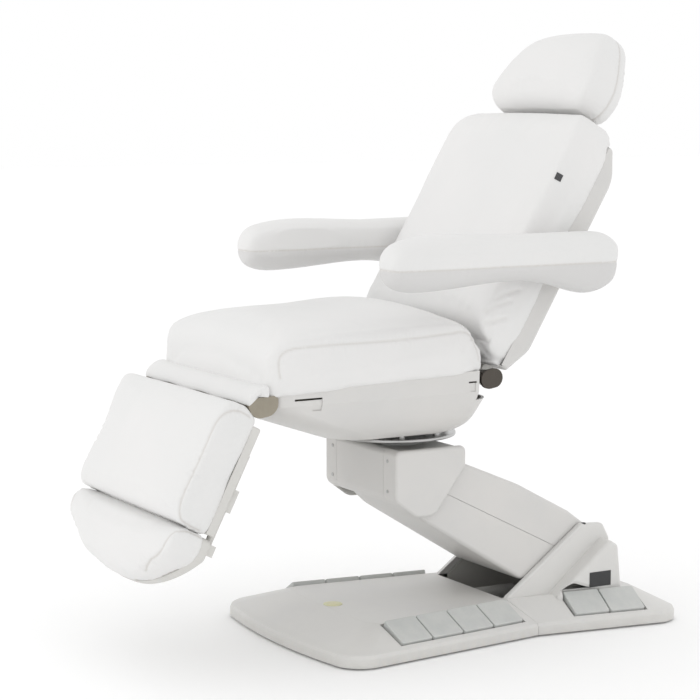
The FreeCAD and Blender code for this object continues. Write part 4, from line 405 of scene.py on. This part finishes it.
def leather_finish(name, dark, light):
    """Artificial leather: pebbled grain, a slack skin that catches the light unevenly and painted shade along
    seams and creases.
    """
    material, shader, place = surface(name, Roughness=0.5, IOR=1.49)
    pebble = add(material, "ShaderNodeTexVoronoi", {"Vector": place, "Scale": 1 / PEBBLE_SIZE,
                                                    "Randomness": 0.9}, feature="SMOOTH_F1")
    grain = add(material, "ShaderNodeBump", {"Height": pebble.outputs["Distance"], "Strength": 0.22,
                                             "Distance": 0.0003})
    slack = add(material, "ShaderNodeTexNoise", {"Vector": place, "Scale": 1 / SLACK_SIZE, "Detail": 4.0,
                                                 "Roughness": 0.55})
    skin = add(material, "ShaderNodeBump", {"Height": slack.outputs["Fac"], "Strength": 0.1,
                                            "Distance": 0.004, "Normal": grain.outputs["Normal"]})
    wire(material, skin.outputs["Normal"], shader.inputs["Normal"])
    cloud = add(material, "ShaderNodeTexNoise", {"Vector": place, "Scale": 1 / LEATHER_CLOUD_SIZE,
                                                 "Detail": 3.0})
    tint = add(material, "ShaderNodeValToRGB", {"Fac": cloud.outputs["Fac"]})
    tint.color_ramp.elements[0].position = 0.3
    tint.color_ramp.elements[0].color = linear(dark)
    tint.color_ramp.elements[1].position = 0.7
    tint.color_ramp.elements[1].color = linear(light)
    # Painted shade: greyer along seams and creases, read from the cushion's seam attribute.
    seam_shade_mask = add(material, "ShaderNodeAttribute", attribute_name="seam")
    shade = add(material, "ShaderNodeMix", {"Factor": seam_shade_mask.outputs["Fac"], 6: tint.outputs["Color"],
                                            7: linear("#D3D0CC")}, data_type="RGBA")
    wire(material, shade.outputs[2], shader.inputs["Base Color"])
    gloss = add(material, "ShaderNodeMapRange", {"Value": slack.outputs["Fac"], "To Min": 0.42,
                                                 "To Max": 0.58})
    wire(material, gloss.outputs["Result"], shader.inputs["Roughness"])
    return material


def baked(piece):
    """The piece's mesh with its modifiers in it."""
    result = bpy.data.meshes.new_from_object(piece.evaluated_get(bpy.context.evaluated_depsgraph_get()))
    piece.modifiers.clear()
    piece.data = result
    return result


def spots(mesh):
    """The places of a mesh's vertices, one row each."""
    co = np.empty(len(mesh.vertices) * 3)
    mesh.vertices.foreach_get("co", co)
    return co.reshape(-1, 3)


def moved_to(mesh, co):
    """Put a mesh's vertices at new places."""
    mesh.vertices.foreach_set("co", co.ravel())
    mesh.update()


def outward(mesh):
    """The normals of a mesh's vertices, one row each."""
    normals = np.empty(len(mesh.vertices) * 3)
    mesh.vertex_normals.foreach_get("vector", normals)
    return normals.reshape(-1, 3)


leather = leather_finish("coated_artificial_leather", "#E3E3E2", "#E7E6E5")
SUBDIVIDED = 1
WELD_GAP = 0.00005
AIR_FRAMES = 20
AIR_PRESSURE = 4.0
AIR_MASS = 0.3
COVER_STRETCH = 12.0
COVER_BENDING = 0.8
HELD_FACING = 0.75  # the cover is held where it faces its base more than this
SUNK_FACING = -0.3  # and it sinks towards its base from this facing on
SETTLE_ROUNDS = 3


def stuffed(name, nodes, base_side, voxel=0.006, grown=0.0012, cap=0.004, rounds=3, sunk=0.004):
    """A cushion from its solids: remeshed, rounded, sunk on its seat, then swelled by air."""
    shape = bmesh.new()
    for node in nodes:
        shape.from_mesh(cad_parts[node].data)
    mesh = bpy.data.meshes.new(name)
    shape.to_mesh(mesh)
    shape.free()
    piece = placed(name, mesh)
    weld = piece.modifiers.new("weld", "WELD")
    weld.merge_threshold = WELD_GAP
    remesh = piece.modifiers.new("skin", "REMESH")
    remesh.mode = "VOXEL"
    remesh.voxel_size = voxel
    relax = piece.modifiers.new("relax", "SMOOTH")
    relax.factor = 0.5
    relax.iterations = rounds
    grow = piece.modifiers.new("grown", "DISPLACE")
    grow.strength = grown
    grow.mid_level = 0.0
    mesh = baked(piece)
    base_side = np.array(base_side, float)
    facing = outward(mesh) @ base_side
    start = spots(mesh) + np.clip(facing - SUNK_FACING, 0, 1)[:, None] * base_side * sunk
    moved_to(mesh, start)
    held = piece.vertex_groups.new(name="held")
    held.add([int(i) for i in np.nonzero(facing > HELD_FACING)[0]], 1.0, "REPLACE")
    cloth = piece.modifiers.new("air", "CLOTH")
    cloth.settings.quality = 4
    cloth.settings.mass = AIR_MASS
    cloth.settings.tension_stiffness = COVER_STRETCH
    cloth.settings.compression_stiffness = COVER_STRETCH
    cloth.settings.bending_stiffness = COVER_BENDING
    cloth.settings.use_pressure = True
    cloth.settings.uniform_pressure_force = AIR_PRESSURE
    cloth.settings.effector_weights.gravity = 0.0
    cloth.settings.vertex_group_mass = "held"
    cloth.collision_settings.use_collision = False
    cloth.point_cache.frame_start = 1
    cloth.point_cache.frame_end = AIR_FRAMES
    for step in range(1, AIR_FRAMES + 1):
        scene.frame_set(step)
    swelled = spots(piece.evaluated_get(bpy.context.evaluated_depsgraph_get()).data)
    swell = swelled - start
    length = np.linalg.norm(swell, axis=1, keepdims=True)
    swell *= np.minimum(1.0, cap / np.maximum(length, 1e-9))
    piece.modifiers.clear()
    scene.frame_set(1)
    moved_to(mesh, start + swell)
    settle = piece.modifiers.new("settle", "SMOOTH")
    settle.factor = 0.5
    settle.iterations = SETTLE_ROUNDS
    finer = piece.modifiers.new("finer", "SUBSURF")
    finer.levels = SUBDIVIDED
    finer.render_levels = SUBDIVIDED
    mesh = baked(piece)
    mesh.materials.clear()
    mesh.materials.append(leather)
    mesh.shade_smooth()
    mesh.attributes.new("seam", "FLOAT", "POINT")
    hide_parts(*nodes)
    return piece


def smooth_line(points, step=0.002):
    """A smooth line through points, as close-set places along it."""
    points = np.array(points, float)
    ends = np.vstack([2 * points[0] - points[1], points, 2 * points[-1] - points[-2]])
    line = []
    for a, b, c, d in zip(ends, ends[1:], ends[2:], ends[3:]):
        for t in np.arange(0, 1, step / max(np.linalg.norm(c - b), step)):
            line.append(0.5 * (2 * b + (c - a) * t + (2 * a - 5 * b + 4 * c - d) * t * t
                               + (3 * b - a - 3 * c + d) * t ** 3))
    return np.array(line + [points[-1]])


GATHERS = [(410, 1.3, 0.5), (263, 0.4, 0.6), (617, 2.2, 0.25)]  # waves of 10 to 24 mm along a seam
GATHERS_COME_AND_GO = (37, 0.7, 0.45)
SEAM_CHUNK = 4000


def sewn(piece, guide, depth=0.0020, width=0.0034, gather=0.0013, reach=0.016, tint=1.0):
    """Draw a seam into a cushion along the surface nearest to a guide line, with gathers beside it and
    painted shade in its groove.
    """
    mesh = piece.data
    tree = BVHTree.FromObject(piece, bpy.context.evaluated_depsgraph_get())
    line = np.array([tree.find_nearest(Vector(p))[0] for p in smooth_line(guide)])
    along = np.concatenate([[0.0], np.cumsum(np.linalg.norm(np.diff(line, axis=0), axis=1))])
    co = spots(mesh)
    inside = (co > line.min(0) - 3 * reach) & (co < line.max(0) + 3 * reach)
    near = np.nonzero(np.all(inside, axis=1))[0]
    normals = outward(mesh)
    seam = np.empty(len(co), np.float32)
    mesh.attributes["seam"].data.foreach_get("value", seam)
    for index in np.array_split(near, max(1, len(near) // SEAM_CHUNK)):
        gaps = np.linalg.norm(co[index][:, None] - line[None], axis=2)
        first = gaps.argmin(axis=1)
        away = gaps[np.arange(len(index)), first]
        s = along[first]
        wave = sum(np.sin(s * turns + start) * share for turns, start, share in GATHERS)
        turns, start, share = GATHERS_COME_AND_GO
        wave *= 1 - share + share * np.sin(s * turns + start)
        groove = np.exp(-(away / width) ** 2)
        swell = np.exp(-(away / reach) ** 2) * (1 - groove) * wave
        co[index] += normals[index] * (gather * swell - depth * groove)[:, None]
        # Painted shade in the groove, kept for the leather's shader.
        seam[index] = np.maximum(seam[index], tint * np.exp(-(away / (0.7 * width)) ** 2))
    mesh.attributes["seam"].data.foreach_set("value", seam)
    moved_to(mesh, co)


SEAT_GUSSET_X = 0.29
SEAT_GUSSET = [(-0.402, 0.655), (-0.406, 0.690), (-0.396, 0.708), (-0.370, 0.718), (-0.330, 0.721),
               (-0.100, 0.723), (0.010, 0.729), (0.062, 0.732), (0.096, 0.727), (0.113, 0.710),
               (0.119, 0.690), (0.121, 0.660)]
seat_cushion = stuffed("seat_upholstery", ["seat_cushion"], (0, 0, -1), voxel=0.0065)
for x in (SEAT_GUSSET_X, -SEAT_GUSSET_X):
    sewn(seat_cushion, [(x, y, z) for y, z in SEAT_GUSSET], tint=0.7)
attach(seat_cushion, "seat")


# Front lip: a thin pad in a fold of the seat's cover, sewn on under its front edge and open at its ends.
# It hangs over the legrest's hinge with a slightly wavy hem.
LIP_HALF = 0.268
LIP_ROOT_Y = -0.414
LIP_TIP_Y = -0.4655
LIP_TIP_Z = 0.6020
LIP_STEPS = 96
shape = bmesh.new()
rings = []
for step in range(LIP_STEPS + 1):
    t = 2 * step / LIP_STEPS - 1
    tip_y = LIP_TIP_Y - 0.0005 * t + 0.0010 * math.sin(7 * t)
    tip_z = LIP_TIP_Z - 0.0005 * t + 0.0012 * math.sin(11 * t + 0.6)
    section = [(LIP_ROOT_Y, 0.6110), (-0.4220, 0.6175), (-0.4350, 0.6200), (-0.4475, 0.6215),
               (tip_y + 0.0065, tip_z + 0.0070), (tip_y + 0.0045, tip_z), (tip_y + 0.0020, tip_z - 0.0015),
               (tip_y, tip_z + 0.0010), (tip_y + 0.0010, tip_z + 0.0100), (tip_y + 0.0090, tip_z + 0.0210),
               (-0.4380, 0.6365 - 0.0015 * t), (-0.4220, 0.6395), (LIP_ROOT_Y, 0.6400)]
    rings.append([shape.verts.new((LIP_HALF * t, y, z)) for y, z in section])
for a, b in zip(rings, rings[1:]):
    for i in range(len(a)):
        j = (i + 1) % len(a)
        shape.faces.new((a[i], a[j], b[j], b[i]))
shape.faces.new(rings[0])
shape.faces.new(rings[-1])
bmesh.ops.recalc_face_normals(shape, faces=shape.faces)
mesh = bpy.data.meshes.new("seat_lip")
shape.to_mesh(mesh)
shape.free()
mesh.shade_smooth()
lip = placed("seat_lip", mesh)
softer = lip.modifiers.new("softer", "SUBSURF")
softer.levels = 2
softer.render_levels = 2
baked(lip).materials.append(leather)
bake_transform(lip)


# Legrest and footrest cushions: foam on their boards under the same cover.
# Each side is a gusset sewn in near the front edge, and its seam gathers the cover.
LEG_PIVOT = Vector((0.0, -0.435, 0.600))
LEG_DIRECTION = math.radians(63.0)


def on_legrest(x, u, n):
    """A place on the legrest: across, down from its pivot and out from its board."""
    return (x, LEG_PIVOT.y - u * math.cos(LEG_DIRECTION) - n * math.sin(LEG_DIRECTION),
            LEG_PIVOT.z - u * math.sin(LEG_DIRECTION) + n * math.cos(LEG_DIRECTION))


LEG_OUT = Vector(on_legrest(0, 0, 1)) - LEG_PIVOT
LEG_SUNK = 0.0015
LEG_GUSSET = [(0.273, 0.034, 0.020), (0.272, 0.034, 0.048), (0.270, 0.046, 0.070), (0.266, 0.075, 0.084),
              (0.264, 0.120, 0.090), (0.263, 0.175, 0.092), (0.264, 0.235, 0.090), (0.267, 0.270, 0.082),
              (0.270, 0.292, 0.066), (0.272, 0.299, 0.044), (0.273, 0.300, 0.018)]
FOOT_GUSSET = [(0.268, 0.306, 0.010), (0.266, 0.309, 0.038), (0.262, 0.320, 0.056), (0.256, 0.340, 0.067),
               (0.248, 0.365, 0.071), (0.226, 0.392, 0.070), (0.196, 0.412, 0.062), (0.170, 0.428, 0.044)]
legrest_cushion = stuffed("legrest_upholstery", ["legrest_cushion"], -LEG_OUT, sunk=LEG_SUNK)
footrest_cushion = stuffed("footrest_upholstery", ["footrest_cushion"], -LEG_OUT, voxel=0.005, grown=0.0028,
                          sunk=LEG_SUNK)
for side in (1, -1):
    sewn(legrest_cushion, [on_legrest(side * x, u, n) for x, u, n in LEG_GUSSET], gather=0.0018)
    sewn(footrest_cushion, [on_legrest(side * x, u, n) for x, u, n in FOOT_GUSSET])
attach(legrest_cushion, "legrest")
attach(footrest_cushion, "footrest")


# Back cushion: one tall foam pad on the back's frame, with rounded shoulders, covered like the seat.
# The cover is drawn over the edges and stapled behind, so it only creases low on the sides. Its heel is
# stuffed towards the seat and its foot drawn down over the end of the rear cover.
BACK_PIVOT = Vector((0.0, 0.158, 0.618))
BACK_DIRECTION = math.radians(59.0)


def on_back(x, v, m):
    """A place on the back: across, up from its pivot and out towards the sitter."""
    return (x, BACK_PIVOT.y + v * math.cos(BACK_DIRECTION) - m * math.sin(BACK_DIRECTION),
            BACK_PIVOT.z + v * math.sin(BACK_DIRECTION) + m * math.cos(BACK_DIRECTION))


BACK_OUT = Vector(on_back(0, 0, 1)) - BACK_PIVOT
BACK_UP = Vector(on_back(0, 1, 0)) - BACK_PIVOT
BACK_TOP = 0.6585
BACK_FOOT = (0.040, 0.085)
BACK_FOOT_DRAWN = 0.008
BACK_FOOT_WIDER = 0.014
BACK_HEEL_UP = [0.036, 0.067, 0.098]
BACK_HEEL_THICK = [0.012, 0.046, 0.083]
BACK_HEEL_TOP_Z = 0.748
BACK_HEEL_FADE = 0.045
BACK_UPRIGHT = math.sin(math.radians(8.0))  # the heel stops where the upright back would meet the seat
SEAT_REAR_Y = 0.136
BACK_CREASES = [[(0.275, 0.165, 0.060), (0.276, 0.140, 0.086), (0.272, 0.118, 0.104)],
                [(0.275, 0.200, 0.052), (0.276, 0.170, 0.082), (0.274, 0.150, 0.098)],
                [(0.274, 0.128, 0.050), (0.275, 0.108, 0.072), (0.271, 0.094, 0.090)]]
back_cushion = stuffed("back_upholstery", ["back_cushion"], -BACK_OUT, voxel=0.0065, rounds=6, sunk=0.008)
# The creases are grooves with a light painted shade in them.
for side in (1, -1):
    for crease_line in BACK_CREASES:
        sewn(back_cushion, [on_back(side * x, v, m) for x, v, m in crease_line], depth=0.0024, width=0.006,
             gather=0.0008, tint=0.2)
co = spots(back_cushion.data)
height = (co - np.array(BACK_PIVOT)) @ np.array(BACK_UP)
foot = np.clip((BACK_FOOT[1] - height) / (BACK_FOOT[1] - BACK_FOOT[0]), 0, 1)
co[:, 0] *= 1 + BACK_FOOT_WIDER * foot
co -= (np.clip(height - BACK_TOP, 0, None) + BACK_FOOT_DRAWN * foot)[:, None] * np.array(BACK_UP)
heel = (co - np.array(BACK_PIVOT)) @ np.array(BACK_OUT) / np.interp(height, BACK_HEEL_UP, BACK_HEEL_THICK)
low = np.clip((BACK_HEEL_TOP_Z - co[:, 2]) / BACK_HEEL_FADE, 0, 1)
stop = SEAT_REAR_Y + BACK_UPRIGHT * (co[:, 2] - BACK_PIVOT.z)
co[:, 1] -= np.clip(heel, 0, 1) ** 2 * low ** 2 * (3 - 2 * low) * np.clip(co[:, 1] - stop, 0, None)
moved_to(back_cushion.data, co)
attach(back_cushion, "backrest")


# Tag on the back: a plain folded strip of woven polyester, caught in the cover near its left edge.
# The weave is a dark grey check, dull and slightly raised, and the strip hangs a little askew.
TAG_SIDE = 0.0165
TAG_TURN = -28.0
TAG_THICK = 0.0009
TAG_CURL = 0.0006
TAG_NEAR = (0.285, 0.471, 0.092)
WEAVE_SIZE = 0.0009
woven, shader, place = surface("woven_polyester_tag", Roughness=0.8, IOR=1.5)
weave = add(woven, "ShaderNodeTexChecker", {"Vector": place, "Scale": 1 / WEAVE_SIZE,
                                            "Color1": linear("#3B3B3D"), "Color2": linear("#5B5B5C")})
wire(woven, weave.outputs["Color"], shader.inputs["Base Color"])
weave_bump = add(woven, "ShaderNodeBump", {"Height": weave.outputs["Fac"], "Strength": 0.4,
                                           "Distance": 0.0002})
wire(woven, weave_bump.outputs["Normal"], shader.inputs["Normal"])
tree = BVHTree.FromObject(back_cushion, bpy.context.evaluated_depsgraph_get())
spot, facing, _, _ = tree.find_nearest(Vector(on_back(*TAG_NEAR)))
across = Vector((0, 0, 1)).cross(facing).normalized()
up = Quaternion(facing, math.radians(TAG_TURN)) @ facing.cross(across).normalized()
across = up.cross(facing)
shape = bmesh.new()
bmesh.ops.create_grid(shape, x_segments=8, y_segments=8, size=0.5)
for vert in shape.verts:
    a, b = vert.co.x, vert.co.y
    lift = TAG_THICK + TAG_CURL * math.cos(3 * a) * (0.5 - b)
    vert.co = spot + across * (a * TAG_SIDE) + up * (b * TAG_SIDE) + facing * lift
under = bmesh.ops.extrude_face_region(shape, geom=shape.faces[:])
for vert in [v for v in under["geom"] if isinstance(v, bmesh.types.BMVert)]:
    vert.co -= facing * (2 * TAG_THICK)
bmesh.ops.recalc_face_normals(shape, faces=shape.faces)
mesh = bpy.data.meshes.new("back_tag")
shape.to_mesh(mesh)
shape.free()
mesh.materials.append(woven)
tag = placed("back_tag", mesh)
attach(tag, "backrest")


# Headrest cushion: a round-topped foam pad on its own board, covered in one piece.
# A seam runs round its rear edge. Its foot is pressed flat where the back meets it when it nods forward.
HEADREST_SEAM_M = 0.012
HEADREST_EDGE = [(0.140, 0.664), (0.180, 0.675), (0.199, 0.704), (0.198, 0.750), (0.176, 0.800),
                 (0.152, 0.842), (0.124, 0.872), (0.092, 0.890), (0.050, 0.900), (0.0, 0.902)]
HEADREST_PIVOT = (0.692, -0.030)  # up the back and out from it
HEADREST_NOD = math.radians(4.0)
HEADREST_GAP = 0.001
headrest_cushion = stuffed("headrest_upholstery", ["headrest_cushion"], -BACK_OUT, voxel=0.0055, rounds=8)
edge = HEADREST_EDGE + [(-x, v) for x, v in HEADREST_EDGE[-2::-1]]
sewn(headrest_cushion, [on_back(x, v, HEADREST_SEAM_M) for x, v in edge], gather=0.0008)
nodded = np.array(Matrix.Rotation(-HEADREST_NOD, 3, "X") @ BACK_UP)
co = spots(headrest_cushion.data)
height = HEADREST_PIVOT[0] + (co - np.array(on_back(0, *HEADREST_PIVOT))) @ nodded
moved_to(headrest_cushion.data, co + np.clip(BACK_TOP + HEADREST_GAP - height, 0, None)[:, None] * nodded)
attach(headrest_cushion, "headrest")


# Armrests: a padded top and a padded tray on a board between them, with a shallow seam all round.
# The top is covered like the seat, and the tray in the same artificial leather painted greyer, as painted
# shade on the lower half.
# The right one is made from the left one.
ARMREST_SEAM_Z = 0.880
ARMREST_INNER_X = 0.2895  # the hub beside it ends at 288.5 mm
TRAY_EDGE_Z = ARMREST_SEAM_Z - 0.001
ARMREST_OUTLINE = [(0.291, 0.30), (0.291, 0.10), (0.291, -0.10), (0.300, -0.165), (0.339, -0.180),
                   (0.378, -0.165), (0.388, -0.10), (0.388, 0.10), (0.388, 0.36), (0.378, 0.405),
                   (0.339, 0.423), (0.300, 0.405), (0.291, 0.36), (0.291, 0.30)]
left = stuffed("armrest_cover_left", ["armrest_pad_left", "armrest_tray_left"], (-1, 0, 0), voxel=0.005,
               grown=0.0005, cap=0.002, sunk=0.0)
sewn(left, [(x, y, ARMREST_SEAM_Z) for x, y in ARMREST_OUTLINE], depth=0.0012, width=0.0028, gather=0.0004)
co = spots(left.data)
co[:, 0] = np.maximum(co[:, 0], ARMREST_INNER_X)
moved_to(left.data, co)
# Painted shade: the tray below the seam gets a greyer copy of the leather.
left.data.materials.append(leather_finish("coated_artificial_leather_painted_shade", "#D2D1D0", "#D7D6D5"))
for face in left.data.polygons:
    face.material_index = int(face.center.z < TRAY_EDGE_Z)
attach(left, "armrest_left")
mirror = left.data.copy()
mirror.transform(Matrix.Scale(-1, 4, (1, 0, 0)))
mirror.flip_normals()
right = placed("armrest_cover_right", mirror)
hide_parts("armrest_pad_right", "armrest_tray_right")
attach(right, "armrest_right")
